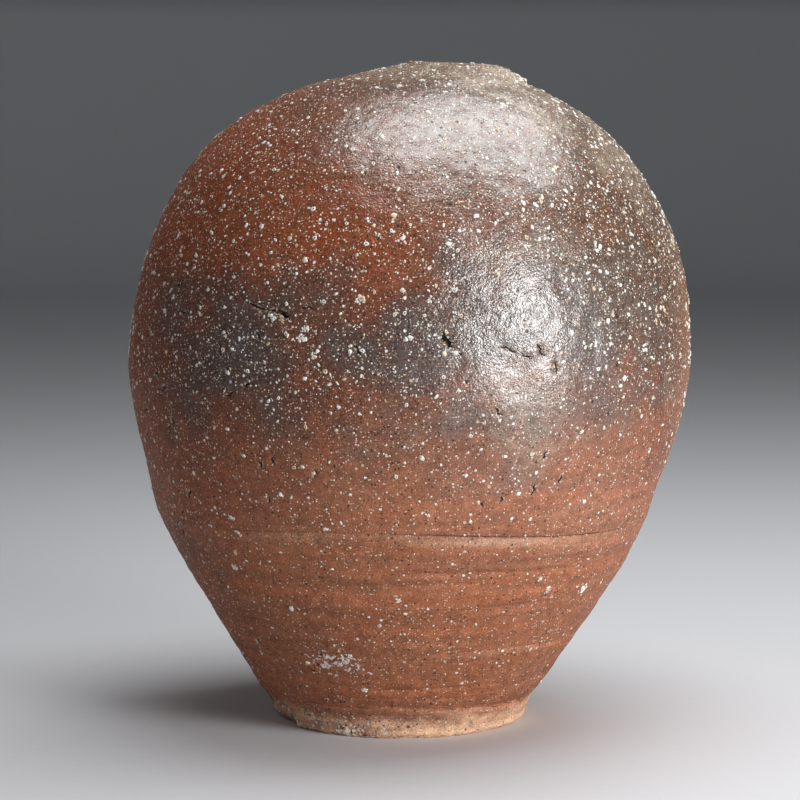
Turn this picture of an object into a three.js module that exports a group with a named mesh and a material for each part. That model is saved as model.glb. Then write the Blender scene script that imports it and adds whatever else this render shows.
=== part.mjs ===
// A coil-built storage jar: a clay slab, rings of pinched coil stacked in four tiers, and the worn stump of a neck.
// Millimetres, +Z up. The origin is the centre of the standing face, and +X is to the right of the jar's front.
import * as THREE from "three";

// The outside, read from the foot up.
const FOOT_RADIUS = 77; // the slab's widest place near the ground
const SLAB_THICKNESS = 20; // also the height of the floor inside
const SLAB_FLARE = 10; // how far the slab's edge leans out by its top
const FLARE_START = 0.6; // how far up the slab that begins, as a share of its thickness
const SLAB_UNDERCUT = 2.5; // worn chamfer round the standing face
const LEDGE_RADIUS = 149.5; // the ledge left where the lower tier stiffened before the belly went on
const LEDGE_HEIGHT = 129;
const LOWER_BOW = 2.5; // how far the lower wall swells past a straight cone
const BELLY_RADIUS = 171; // the widest place of the jar
const BELLY_HEIGHT = 219;
const BELLY_FULLNESS = 0.73; // how early the belly turns upright, from 0 at the ledge to 1 at the widest place
const SHOULDER_HEIGHT = 329; // where the crown tier was set on the shoulder tier
const DOME_POWER = 2.2; // 2 is an ellipse, and more is squarer
const RIM_HEIGHT = 399.5; // at the centre of the mouth
const NECK_RISE = 8.5; // the stump stands this far above the crown
const NECK_SPREAD = 17; // how far the stump spreads from its rim to its root
const NECK_HOLLOW = 0.42; // where that spread turns, from 0 for a square corner to 0.5 for a straight slope
const RIM_THICKNESS = 8;
const RIM_ROUND = 2; // wear on the edges of the rim
const MOUTH_RADIUS = 27;

// The wall and its joints.
const WALL = 12;
const COIL_FOOT = 15; // width of the first coil where it is pressed on to the slab
const COURSES_PER_TIER = 3;
const SCARF = 8; // each coil laps this far down the inside of the one below
const SLIP = 0.5; // the film of slip in every joint, measured along the wall

// How the jar leans, because it was built by hand and sank a little in the kiln. Lengths run along the wall.
const BODY_LEAN = 8.5; // towards +X
const LEAN_LENGTH = 330; // gained from the slab up to here
const NECK_SHIFT = 25; // more of the same, gained over the last of the crown and the stump
const NECK_SHIFT_START = 22; // below the neck's root
const NECK_SHIFT_LENGTH = 38;
const NECK_TILT = 0.05; // the mouth's +X side stands lower, as a fall over a run

// How finely the round forms are cut.
const ROUND_STEPS = 40;
const COURSE_STEPS = 3;
const FLARE_STEPS = 3;
const EDGE_STEPS = 2;

const CLAYS = {
  foot: { color: 0xa9775a, roughness: 0.85 },
  lower: { color: 0x97573d, roughness: 0.75 },
  belly: { color: 0x8a4c36, roughness: 0.65 },
  shoulder: { color: 0x5f453c, roughness: 0.5 },
  crown: { color: 0x84664f, roughness: 0.45 },
};

// One stretch of the dome over the belly, a quarter of a superellipse cut between two heights.
class DomeArc extends THREE.Curve {
  constructor(fromHeight, toHeight) {
    super();
    this.from = DomeArc.angleAt(fromHeight);
    this.to = DomeArc.angleAt(toHeight);
  }

  static get rise() {
    const neckShare = NECK_ROOT_RADIUS / BELLY_RADIUS;
    const shareOfRise = (1 - neckShare ** DOME_POWER) ** (1 / DOME_POWER);
    return (NECK_ROOT_HEIGHT - BELLY_HEIGHT) / shareOfRise;
  }

  static angleAt(height) {
    const share = (height - BELLY_HEIGHT) / DomeArc.rise;
    return Math.asin(share ** (DOME_POWER / 2));
  }

  getPoint(t, target = new THREE.Vector2()) {
    const angle = THREE.MathUtils.lerp(this.from, this.to, t);
    const radius = BELLY_RADIUS * Math.cos(angle) ** (2 / DOME_POWER);
    const height = BELLY_HEIGHT + DomeArc.rise * Math.sin(angle) ** (2 / DOME_POWER);
    return target.set(radius, height);
  }
}

const SLAB_TOP_RADIUS = FOOT_RADIUS + SLAB_FLARE;
const NECK_ROOT_RADIUS = MOUTH_RADIUS + RIM_THICKNESS + NECK_SPREAD;
const NECK_ROOT_HEIGHT = RIM_HEIGHT - NECK_RISE;

// The lower wall, a cone from the slab to the ledge, swollen a little in the middle.
function lowerWall() {
  const from = new THREE.Vector2(SLAB_TOP_RADIUS, SLAB_THICKNESS + SLIP);
  const to = new THREE.Vector2(LEDGE_RADIUS, LEDGE_HEIGHT);
  const along = to.clone().sub(from).normalize();
  const outward = new THREE.Vector2(along.y, -along.x);
  const middle = from.clone().lerp(to, 0.5).addScaledVector(outward, 2 * LOWER_BOW);
  return new THREE.QuadraticBezierCurve(from, middle, to);
}

// The belly, from the ledge to the widest place, where it stands upright.
function bellyWall() {
  const turnHeight = THREE.MathUtils.lerp(LEDGE_HEIGHT, BELLY_HEIGHT, BELLY_FULLNESS);
  return new THREE.QuadraticBezierCurve(
    new THREE.Vector2(LEDGE_RADIUS, LEDGE_HEIGHT),
    new THREE.Vector2(BELLY_RADIUS, turnHeight),
    new THREE.Vector2(BELLY_RADIUS, BELLY_HEIGHT),
  );
}

// The tiers in the order they were built. Each was left to stiffen before the next was set on it.
const TIERS = [
  { name: "lower", curve: lowerWall() },
  { name: "belly", curve: bellyWall() },
  { name: "shoulder", curve: new DomeArc(BELLY_HEIGHT, SHOULDER_HEIGHT) },
  { name: "crown", curve: new DomeArc(SHOULDER_HEIGHT, NECK_ROOT_HEIGHT) },
];
let wallLength = 0;
for (const tier of TIERS) {
  tier.start = wallLength;
  tier.length = tier.curve.getLength();
  wallLength += tier.length;
}

// A point on the outside, by its distance along the wall from the slab. Past either end the wall runs on straight.
function outside(distance) {
  const last = TIERS[TIERS.length - 1];
  const tier = TIERS.find((t) => distance < t.start + t.length) ?? last;
  const share = THREE.MathUtils.clamp((distance - tier.start) / tier.length, 0, 1);
  const beyond = distance - tier.start - share * tier.length;
  return tier.curve.getPointAt(share).addScaledVector(tier.curve.getTangentAt(share), beyond);
}

// The point of the inside that faces it through the wall, square to the wall's run over one thickness.
function inside(distance) {
  const along = outside(distance + WALL / 2).sub(outside(distance - WALL / 2)).normalize();
  const inward = new THREE.Vector2(-along.y, along.x);
  return outside(distance).addScaledVector(inward, WALL);
}

// How far the ring at a distance along the wall has moved aside, and how much it tips.
function settling(distance) {
  const shiftStart = wallLength - NECK_SHIFT_START;
  const leanShare = THREE.MathUtils.smoothstep(distance, 0, LEAN_LENGTH);
  const neckShare = THREE.MathUtils.smoothstep(distance, shiftStart, shiftStart + NECK_SHIFT_LENGTH);
  return { aside: BODY_LEAN * leanShare + NECK_SHIFT * neckShare, tilt: NECK_TILT * neckShare };
}

// Points of a profile, each with the distance along the wall that it settles with.
function sampled(pointAt, from, to, steps) {
  return Array.from({ length: steps + 1 }, (_, i) => {
    const distance = THREE.MathUtils.lerp(from, to, i / steps);
    return { point: pointAt(distance), distance };
  });
}

function settledWith(distance, points) {
  return points.map((point) => ({ point, distance }));
}

// A closed profile turned about the jar's axis, then leaned and tipped as its rings are.
function ring(name, profile, clay) {
  const outline = [...profile, profile[0]];
  const geometry = new THREE.LatheGeometry(outline.map((p) => p.point), ROUND_STEPS);
  geometry.rotateX(Math.PI / 2);
  const position = geometry.getAttribute("position");
  for (let i = 0; i < position.count; i++) {
    const { aside, tilt } = settling(outline[i % outline.length].distance);
    const across = position.getX(i);
    position.setX(i, across + aside);
    position.setZ(i, position.getZ(i) - tilt * across);
  }
  geometry.computeVertexNormals();
  const mesh = new THREE.Mesh(geometry, new THREE.MeshStandardMaterial({ ...clay, metalness: 0 }));
  mesh.name = name;
  return mesh;
}

// The slab the jar was raised on. Its edge bulges near the ground and flares to meet the first coil.
function baseSlab() {
  const flare = new THREE.QuadraticBezierCurve(
    new THREE.Vector2(FOOT_RADIUS, SLAB_UNDERCUT),
    new THREE.Vector2(FOOT_RADIUS, SLAB_THICKNESS * FLARE_START),
    new THREE.Vector2(SLAB_TOP_RADIUS, SLAB_THICKNESS),
  );
  const points = [
    new THREE.Vector2(0, 0),
    new THREE.Vector2(FOOT_RADIUS - SLAB_UNDERCUT, 0),
    ...flare.getPoints(FLARE_STEPS),
  ];
  const closed = [...settledWith(0, points), ...settledWith(0, [new THREE.Vector2(0, SLAB_THICKNESS)])];
  return ring("base_slab", closed, CLAYS.foot);
}

// One coil: up the outside, across the scarf joint, down the inside, and back across the joint below.
function coil(name, from, to, clay) {
  const onSlab = from === 0;
  const outerFrom = onSlab ? 0 : from + SLIP / 2;
  const innerFrom = onSlab ? 0 : from - SCARF + SLIP / 2;
  const outer = sampled(outside, outerFrom, to - SLIP / 2, COURSE_STEPS);
  const inner = sampled(inside, to - SCARF - SLIP / 2, innerFrom, COURSE_STEPS);
  const footWidth = new THREE.Vector2(COIL_FOOT, 0);
  const heel = onSlab ? settledWith(0, [outside(0).sub(footWidth)]) : [];
  return ring(name, [...outer, ...inner, ...heel], clay);
}

function tierOfCoils(tier) {
  const group = new THREE.Group();
  const step = tier.length / COURSES_PER_TIER;
  for (let i = 0; i < COURSES_PER_TIER; i++) {
    const from = tier.start + i * step;
    group.add(coil(`${tier.name}_coil_${i + 1}`, from, from + step, CLAYS[tier.name]));
  }
  return group;
}

// What is left of the neck: a low ring that spreads into the crown, with a worn round rim.
function neckStump() {
  const rootDistance = wallLength + SLIP / 2;
  const rimDistance = rootDistance + NECK_SPREAD;
  const root = outside(rootDistance);
  const rimOuter = new THREE.Vector2(MOUTH_RADIUS + RIM_THICKNESS, RIM_HEIGHT - RIM_ROUND);
  const rimMiddle = new THREE.Vector2(MOUTH_RADIUS + RIM_THICKNESS / 2, RIM_HEIGHT);
  const rimInner = new THREE.Vector2(MOUTH_RADIUS, RIM_HEIGHT - RIM_ROUND);
  const spreadTurn = new THREE.Vector2(rimOuter.x + NECK_HOLLOW * NECK_SPREAD, root.y + NECK_HOLLOW * NECK_RISE);
  const spread = new THREE.QuadraticBezierCurve(root, spreadTurn, rimOuter);
  const crest = new THREE.SplineCurve([rimOuter, rimMiddle, rimInner]);
  const throat = new THREE.Vector2(MOUTH_RADIUS, inside(wallLength).y);
  const spreadAt = (distance) => spread.getPoint((distance - rootDistance) / NECK_SPREAD);
  const slope = sampled(spreadAt, rootDistance, rimDistance, FLARE_STEPS);
  const rim = settledWith(rimDistance, [...crest.getPoints(2 * EDGE_STEPS).slice(1), throat]);
  const under = sampled(inside, wallLength, wallLength - SCARF + SLIP / 2, EDGE_STEPS);
  return ring("neck_stump", [...slope, ...rim, ...under], CLAYS.crown);
}

const jar = new THREE.Group();
jar.add(baseSlab(), ...TIERS.map(tierOfCoils), neckStump());

export default jar;
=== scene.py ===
"""Dresses a coil-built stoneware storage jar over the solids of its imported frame.

Lengths are in metres, +Z is up, and +X is to the right of the jar's front, which faces -Y.
"""
import itertools
import logging
import math
from dataclasses import dataclass
from enum import Enum

import bmesh
import bpy
import numpy as np
from mathutils import Matrix, Vector


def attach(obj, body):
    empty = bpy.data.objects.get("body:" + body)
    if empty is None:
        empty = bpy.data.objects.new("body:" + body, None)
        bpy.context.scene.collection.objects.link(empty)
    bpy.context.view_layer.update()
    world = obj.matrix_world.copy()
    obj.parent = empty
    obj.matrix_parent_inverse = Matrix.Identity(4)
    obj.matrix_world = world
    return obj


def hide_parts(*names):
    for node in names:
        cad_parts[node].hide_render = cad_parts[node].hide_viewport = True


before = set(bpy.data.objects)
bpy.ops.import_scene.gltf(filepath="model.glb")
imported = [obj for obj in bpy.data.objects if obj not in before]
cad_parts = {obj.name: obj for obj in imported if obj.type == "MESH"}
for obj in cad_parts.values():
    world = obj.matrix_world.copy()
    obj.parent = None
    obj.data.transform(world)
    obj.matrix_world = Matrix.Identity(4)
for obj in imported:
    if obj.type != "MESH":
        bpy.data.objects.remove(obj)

Socket = bpy.types.NodeSocket
Triple = tuple[float, float, float]

LOG = logging.getLogger("jar")
MM = 0.001
MERGE = 1e-6
NO_LENGTH = 1e-12
ROOT_BODY = "root"


def ease(value: np.ndarray, low: float, high: float) -> np.ndarray:
    """A smooth ramp.

    Args:
        value: What is ramped.
        low: Where the ramp is 0. It may lie above high.
        high: Where the ramp is 1.

    Returns:
        Numbers from 0 to 1.
    """
    share = np.clip((value - low) / (high - low), 0.0, 1.0)
    return share * share * (3.0 - 2.0 * share)


def bell(value: np.ndarray, width: float) -> np.ndarray:
    """A bell: 1 where a value is 0, fading over a width to both sides."""
    return np.exp(-((value / width) ** 2))


def at_least(least: float, share: np.ndarray) -> np.ndarray:
    """A share from 0 to 1, squeezed so that it starts at a least value."""
    return least + (1 - least) * share


def arc(angle: np.ndarray, middle: float, spread: float, flat: float) -> tuple[np.ndarray, np.ndarray]:
    """A stretch round part of the jar.

    Args:
        angle: Angles round from the front, in radians.
        middle: Where the stretch has its middle, in degrees.
        spread: How far it runs to each side, in degrees.
        flat: The share of the spread over which it is whole.

    Returns:
        How far each angle lies from the middle, in degrees, and how far it lies in the stretch, from 0 to 1.
    """
    turn = (np.degrees(angle) - middle + 180) % 360 - 180
    return turn, 1 - ease(np.abs(turn), flat * spread, spread)


def around(angle: np.ndarray, outline: np.ndarray) -> np.ndarray:
    """Places or directions round the axis, one to a row, from an angle, a radius and a height for each."""
    radius, height = outline.T
    return np.stack([np.sin(angle) * radius, -np.cos(angle) * radius, height], axis=1)


def walked(points: np.ndarray) -> np.ndarray:
    """The distance from the first of some points to each, along them all."""
    return np.concatenate([[0.0], np.cumsum(np.linalg.norm(np.diff(points, axis=0), axis=1))])


def lifted(place: np.ndarray, rise: np.ndarray) -> np.ndarray:
    """The same places, each raised by its own length."""
    return place + np.outer(rise, (0.0, 0.0, 1.0))


def srgb(red: int, green: int, blue: int) -> tuple[float, float, float, float]:
    """A colour as it is seen, from 0 to 255, as the linear colour that a shader takes."""
    linear = [((c / 255 + 0.055) / 1.055) ** 2.4 if c > 10 else c / 255 / 12.92 for c in (red, green, blue)]
    return (linear[0], linear[1], linear[2], 1.0)


def linked(name: str, data: bpy.types.ID) -> bpy.types.Object:
    """A new object at the origin, in the scene.

    Args:
        name: Its name.
        data: What it shows.

    Returns:
        The object.
    """
    made = bpy.data.objects.new(name, data)
    bpy.context.scene.collection.objects.link(made)
    return made


def turned(bm: bmesh.types.BMesh, verts: list, edges: list, steps: int) -> None:
    """Turns a bent line once round the upright axis."""
    bmesh.ops.spin(
        bm, geom=verts + edges, cent=(0, 0, 0), axis=(0, 0, 1), dvec=(0, 0, 0), angle=2 * math.pi,
        steps=steps, use_merge=True, use_normal_flip=False, use_duplicate=False,
    )


class LatticeNoise:
    """Smooth noise in space, the same on every run."""

    SLOPES = 256
    GAIN = 1.6

    def __init__(self, seed: int) -> None:
        """Draws the slopes of the lattice.

        Args:
            seed: What chance starts from.
        """
        rng = np.random.default_rng(seed)
        slopes = rng.normal(size=(self.SLOPES, 3))
        self._order = rng.permutation(self.SLOPES)
        self._slopes = slopes / np.linalg.norm(slopes, axis=1)[:, None]

    def __call__(self, points: np.ndarray, size: float | Triple) -> np.ndarray:
        """Reads the noise.

        Args:
            points: Places in space, one to a row.
            size: How large its lumps are, in one number or along each axis.

        Returns:
            A number for each place, mostly from -1 to 1.
        """
        scaled = points / np.asarray(size)
        cell = np.floor(scaled).astype(np.int64)
        within = scaled - cell
        blend = within**3 * (within * (within * 6 - 15) + 10)
        total = np.zeros(len(points))
        for corner in itertools.product((0, 1), repeat=3):
            at = (cell + corner) % self.SLOPES
            pick = self._order[(self._order[at[:, 0]] + at[:, 1]) % self.SLOPES]
            slope = self._slopes[self._order[(pick + at[:, 2]) % self.SLOPES]]
            weight = np.prod(np.where(np.array(corner) == 1, blend, 1 - blend), axis=1)
            total += weight * np.einsum("ij,ij->i", slope, within - corner)
        return total * self.GAIN


@dataclass(frozen=True)
class JarShape:
    """Sizes of the wall, from the foot up, as the solids have them."""

    foot_radius: float = 77 * MM
    slab_thickness: float = 20 * MM
    slab_flare: float = 10 * MM
    flare_start: float = 0.6
    slab_undercut: float = 2.5 * MM
    ledge_radius: float = 149.5 * MM
    ledge_height: float = 129 * MM
    lower_bow: float = 2.5 * MM
    belly_radius: float = 171 * MM
    belly_height: float = 219 * MM
    belly_fullness: float = 0.73
    shoulder_height: float = 329 * MM
    dome_power: float = 2.2
    rim_height: float = 399.5 * MM
    neck_rise: float = 8.5 * MM
    neck_spread: float = 17 * MM
    rim_thickness: float = 8 * MM
    rim_round: float = 2 * MM
    mouth_radius: float = 27 * MM
    wall: float = 12 * MM
    coil_foot: float = 15 * MM
    courses_per_tier: int = 3
    scarf: float = 8 * MM
    slip: float = 0.5 * MM
    body_lean: float = 8.5 * MM
    lean_length: float = 330 * MM
    neck_shift: float = 25 * MM
    neck_shift_start: float = 22 * MM
    neck_shift_length: float = 38 * MM
    neck_tilt: float = 0.05

    @property
    def slab_top_radius(self) -> float:
        """Where the slab's edge meets the first coil."""
        return self.foot_radius + self.slab_flare

    @property
    def neck_root_radius(self) -> float:
        """Where the stump of the neck leaves the crown."""
        return self.mouth_radius + self.rim_thickness + self.neck_spread

    @property
    def neck_root_height(self) -> float:
        """How high the crown is where the stump leaves it."""
        return self.rim_height - self.neck_rise


def bezier(start: tuple, turn: tuple, end: tuple, count: int) -> np.ndarray:
    """Points along a curve with one turning point.

    Args:
        start: Its first point.
        turn: The point that it bends towards.
        end: Its last point.
        count: How many points.

    Returns:
        One point to a row.
    """
    t = np.linspace(0, 1, count)[:, None]
    return (1 - t) ** 2 * np.array(start) + 2 * t * (1 - t) * np.array(turn) + t**2 * np.array(end)


class JarWall:
    """The jar's outside as one curve, walked by distance along the wall from the slab."""

    SAMPLES = 600
    RUN_ON = 40 * MM

    def __init__(self, shape: JarShape) -> None:
        """Joins the four tiers' curves and measures them.

        Args:
            shape: The jar's sizes.
        """
        self.shape = shape
        tiers = [self._lower(), self._belly()]
        tiers.append(self._dome(shape.belly_height, shape.shoulder_height))
        tiers.append(self._dome(shape.shoulder_height, shape.neck_root_height))
        lengths = [np.linalg.norm(np.diff(t, axis=0), axis=1).sum() for t in tiers]
        self.tier_ends = np.cumsum(lengths)
        self.length = float(self.tier_ends[-1])
        run = np.concatenate([tiers[0], *[t[1:] for t in tiers[1:]]])
        before = run[0] - self.RUN_ON * self._unit(run[1] - run[0])
        after = run[-1] + self.RUN_ON * self._unit(run[-1] - run[-2])
        self._run = np.concatenate([[before], run, [after]])
        self._distance = walked(self._run) - self.RUN_ON

    @staticmethod
    def _unit(vector: np.ndarray) -> np.ndarray:
        """The same direction, one long."""
        return vector / np.linalg.norm(vector)

    def _lower(self) -> np.ndarray:
        """The lower wall, a cone swollen a little in the middle.

        Returns:
            Radius and height, row by row.
        """
        s = self.shape
        start = np.array((s.slab_top_radius, s.slab_thickness + s.slip))
        end = np.array((s.ledge_radius, s.ledge_height))
        along = self._unit(end - start)
        turn = (start + end) / 2 + 2 * s.lower_bow * np.array((along[1], -along[0]))
        return bezier(start, turn, end, self.SAMPLES)

    def _belly(self) -> np.ndarray:
        """The belly, from the ledge to the widest place.

        Returns:
            Radius and height, row by row.
        """
        s = self.shape
        turn_height = s.ledge_height + s.belly_fullness * (s.belly_height - s.ledge_height)
        start = (s.ledge_radius, s.ledge_height)
        return bezier(start, (s.belly_radius, turn_height), (s.belly_radius, s.belly_height), self.SAMPLES)

    def _dome(self, low: float, high: float) -> np.ndarray:
        """The dome over the belly, between two heights.

        Args:
            low: Where it starts.
            high: Where it ends.

        Returns:
            Radius and height, row by row.
        """
        s = self.shape
        power = s.dome_power
        neck_share = s.neck_root_radius / s.belly_radius
        rise = (s.neck_root_height - s.belly_height) / (1 - neck_share**power) ** (1 / power)
        ends = [math.asin(((h - s.belly_height) / rise) ** (power / 2)) for h in (low, high)]
        angle = np.linspace(ends[0], ends[1], self.SAMPLES)
        radius = s.belly_radius * np.cos(angle) ** (2 / power)
        height = s.belly_height + rise * np.abs(np.sin(angle)) ** (2 / power)
        return np.stack([radius, height], axis=1)

    def outside(self, distance: np.ndarray) -> np.ndarray:
        """Radius and height on the outside, one row for each distance along the wall."""
        return np.stack([np.interp(distance, self._distance, row) for row in self._run.T], axis=-1)

    def inward(self, distance: np.ndarray) -> np.ndarray:
        """The way through the wall towards the inside.

        Args:
            distance: Along the wall.

        Returns:
            The direction's radius and height, row by row.
        """
        half = self.shape.wall / 2
        along = self.outside(distance + half) - self.outside(distance - half)
        along /= np.linalg.norm(along, axis=-1)[..., None]
        return np.stack([-along[..., 1], along[..., 0]], axis=-1)

    def settled(self, points: np.ndarray, distance: np.ndarray) -> np.ndarray:
        """Leans and tips upright rings as the jar did when it sank.

        Args:
            points: Places on the upright jar, one to a row.
            distance: Where along the wall each belongs.

        Returns:
            The same places on the leaning jar.
        """
        s = self.shape
        shift_start = self.length - s.neck_shift_start
        neck_share = ease(distance, shift_start, shift_start + s.neck_shift_length)
        moved = points.copy()
        moved[:, 0] += s.body_lean * ease(distance, 0, s.lean_length) + s.neck_shift * neck_share
        moved[:, 2] -= s.neck_tilt * neck_share * points[:, 0]
        return moved

    def joints(self) -> list[float]:
        """Every joint's distance along the wall, from the slab to the neck.

        Returns:
            One distance for each.
        """
        starts = np.concatenate([[0.0], self.tier_ends])
        found = [0.0]
        for low, high in zip(starts[:-1], starts[1:]):
            found.extend(np.linspace(low, high, self.shape.courses_per_tier + 1)[1:])
        return [float(f) for f in found]


class Face(Enum):
    """Which side of the wall a place of a profile belongs to."""

    OUTSIDE = 0
    HIDDEN = 1
    INSIDE = 2
    STANDING = 3


@dataclass
class Profile:
    """A closed outline that is turned about the jar's axis, in parallel lists.

    Attributes:
        base: Radius and height of each place before the clay's relief.
        push: The direction in which relief moves it, out of the clay.
        outer: How much of the outside's relief it takes, from 0 to 1.
        inner: How much of the inside's relief it takes, from 0 to 1.
        distance: Where along the wall it belongs.
        face: Which side of the wall it is on.
    """

    base: np.ndarray
    push: np.ndarray
    outer: np.ndarray
    inner: np.ndarray
    distance: np.ndarray
    face: list[Face]

    @staticmethod
    def joined(parts: list["Profile"]) -> "Profile":
        """One profile from several stretches of it, in order."""
        lists = [(p.base, p.push, p.outer, p.inner, p.distance) for p in parts]
        return Profile(*[np.concatenate(row) for row in zip(*lists)], [f for p in parts for f in p.face])

    @staticmethod
    def through_wall(wall: JarWall, distance: np.ndarray, depth: np.ndarray, face: Face) -> "Profile":
        """A stretch given by distance along the wall and depth into it.

        Args:
            wall: The wall that it lies in.
            distance: Distance along the wall for each place.
            depth: From 0 on the outside to 1 on the inside.
            face: The side that it belongs to.

        Returns:
            The stretch, whose relief fades from one side to the other.
        """
        inward = wall.inward(distance)
        base = wall.outside(distance) + inward * (wall.shape.wall * depth)[:, None]
        push = inward * np.where(depth > 0.5, 1.0, -1.0)[:, None]
        outer = np.where(depth > 0.5, 0.0, 1.0 - 2 * depth)
        inner = np.where(depth > 0.5, 2 * depth - 1.0, 0.0)
        return Profile(base, push, outer, inner, distance, [face] * len(distance))

    @staticmethod
    def along(points: np.ndarray, distance: np.ndarray, outer: float, inner: float, face: Face) -> "Profile":
        """A stretch given by its own points, with relief square to them.

        Args:
            points: Radius and height of each place, walked with the clay on the left.
            distance: Where along the wall each belongs.
            outer: How much of the outside's relief it takes.
            inner: How much of the inside's relief it takes.
            face: The side that it belongs to.

        Returns:
            The stretch.
        """
        run = np.gradient(points, axis=0)
        run /= np.maximum(np.linalg.norm(run, axis=1)[:, None], NO_LENGTH)
        push = np.stack([run[:, 1], -run[:, 0]], axis=1)
        count = len(points)
        return Profile(points, push, np.full(count, outer), np.full(count, inner), distance, [face] * count)


@dataclass(frozen=True)
class Swell:
    """A lump or a hollow pressed by hand.

    Attributes:
        place: Where its middle lies, in millimetres.
        reach: How far it spreads, in millimetres.
        height: How far it stands out, in millimetres, or in if it is negative.
    """

    place: Triple
    reach: float
    height: float


@dataclass(frozen=True)
class Patch:
    """A place where the fire or use coloured the clay; some of them paint sheen and shade instead.

    Attributes:
        place: Where its middle lies, in millimetres.
        reach: How far it spreads along each axis, in millimetres.
        strength: How strong it is in the middle.
    """

    place: Triple
    reach: Triple
    strength: float

    @staticmethod
    def strongest(
        patches: tuple["Patch", ...], points: np.ndarray, least: np.ndarray, fall: float = 1.0
    ) -> np.ndarray:
        """The strongest of some patches at each point.

        Args:
            patches: The patches.
            points: Places on the jar, one to a row.
            least: What each point has without them.
            fall: How fast they fade from their middles.

        Returns:
            A number for each point.
        """
        found = least
        for patch in patches:
            away = (points - np.array(patch.place) * MM) / (np.array(patch.reach) * MM)
            found = np.maximum(found, patch.strength * np.exp(-((away**2).sum(axis=1)) * fall))
        return found


@dataclass(frozen=True)
class Slit:
    """A short open crack.

    Attributes:
        angle: Degrees round from the front, towards +X.
        height: Millimetres above the ground.
        length: Millimetres.
        slant: Degrees from upright, towards +X at the top.
        width: How wide it gapes, as a multiple of the plain ones.
    """

    angle: float
    height: float
    length: float
    slant: float
    width: float = 1.0


@dataclass(frozen=True)
class Step:
    """A stretch of joint where the lower ring stands proud of the upper one.

    Attributes:
        joint: Which joint, counted from the slab.
        angle: Where its middle lies, in degrees round from the front.
        spread: How far it runs to each side, in degrees.
        height: How far the lower ring stands out there, in millimetres.
        fall: How far the line sinks towards +X, in millimetres over one radian.
        edge: How far down the wall the ring takes to reach that, in millimetres.
    """

    joint: int
    angle: float
    spread: float
    height: float
    fall: float = 0.0
    edge: float = 3.6


@dataclass(frozen=True)
class Furrow:
    """A line that a thumb or a rag drew round part of the wall.

    Attributes:
        height: Millimetres above the ground at its middle.
        angle: Where its middle lies, in degrees round from the front.
        spread: How far it runs to each side, in degrees.
        width: Millimetres.
        depth: Millimetres, and below zero for a ridge.
        climb: Millimetres that it rises over one radian towards +X.
    """

    height: float
    angle: float
    spread: float
    width: float
    depth: float
    climb: float


@dataclass(frozen=True)
class Scar:
    """A stretch of the foot whose edge was knocked off.

    Attributes:
        start: Where it breaks away, in degrees round from the front.
        end: Where it has faded out.
        top: How high it reaches, in millimetres.
        depth: How deep it is at the ground, in millimetres.
    """

    start: float
    end: float
    top: float
    depth: float


@dataclass(frozen=True)
class Chip:
    """One of the larger stones that show in the wall.

    Attributes:
        angle: Degrees round from the front, towards +X.
        height: Millimetres above the ground.
        radius: Millimetres.
    """

    angle: float
    height: float
    radius: float


@dataclass(frozen=True)
class Roll:
    """One layer of the clay's unevenness.

    Attributes:
        noise: Which of the clay's noises it reads.
        size: How large its lumps are, in metres, in one number or along each axis.
        height: How far they stand out, in millimetres, or how strong they are.
    """

    noise: int
    size: float | Triple
    height: float


@dataclass(frozen=True)
class Ramp:
    """A smooth ramp, 0 at low and 1 at high, where low may lie above high."""

    low: float
    high: float

    def __call__(self, value: np.ndarray) -> np.ndarray:
        """Numbers from 0 to 1."""
        return ease(value, self.low, self.high)


@dataclass(frozen=True)
class Window:
    """A part of the jar with soft edges.

    Attributes:
        strength: What it is worth in its middle.
        right: Its edge along X, in millimetres, if it has one.
        back: Its edge along Y, in millimetres, if it has one.
        height: Its edge along Z, in millimetres, if it has one.
    """

    strength: float
    right: Ramp | None = None
    back: Ramp | None = None
    height: Ramp | None = None

    def __call__(self, place: np.ndarray) -> np.ndarray:
        """What it is worth at each place.

        Args:
            place: The places, in millimetres.

        Returns:
            From 0 to its strength, for each.
        """
        worth = np.full(len(place), self.strength)
        for along, edge in zip(place.T, (self.right, self.back, self.height)):
            if edge is not None:
                worth *= edge(along)
        return worth


@dataclass
class Spots:
    """Places on the jar, in parallel lists.

    Attributes:
        upright: Where each lies on the upright jar.
        settled: Where it lies on the leaning jar.
        angle: Its angle round from the front.
        distance: Its distance along the wall.
    """

    upright: np.ndarray
    settled: np.ndarray
    angle: np.ndarray
    distance: np.ndarray


SWELLS = tuple(Swell(*row) for row in (
    ((140, 0, 92), 38, 2.8), ((-112, 0, 62), 34, -2.0), ((-150, 0, 128), 26, 1.6),
    ((-62, -10, 381), 24, -1.2), ((68, 0, 396), 17, -2.9), ((58, 0, 401), 11, -2.0),
    ((81, 0, 389), 10, 1.2), ((153, 0, 141), 26, -2.8), ((-2, 0, 400), 16, -1.6), ((33, 36, 400), 30, -0.8),
    ((-83, 0, 12), 14, 1.6), ((98, 0, 32), 16, -2.8), ((80, 0, 9), 7, -1.8), ((80, -150, 258), 30, 1.6),
    ((66, -156, 228), 16, -1.4), ((100, -128, 226), 18, -0.9),
))

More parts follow.
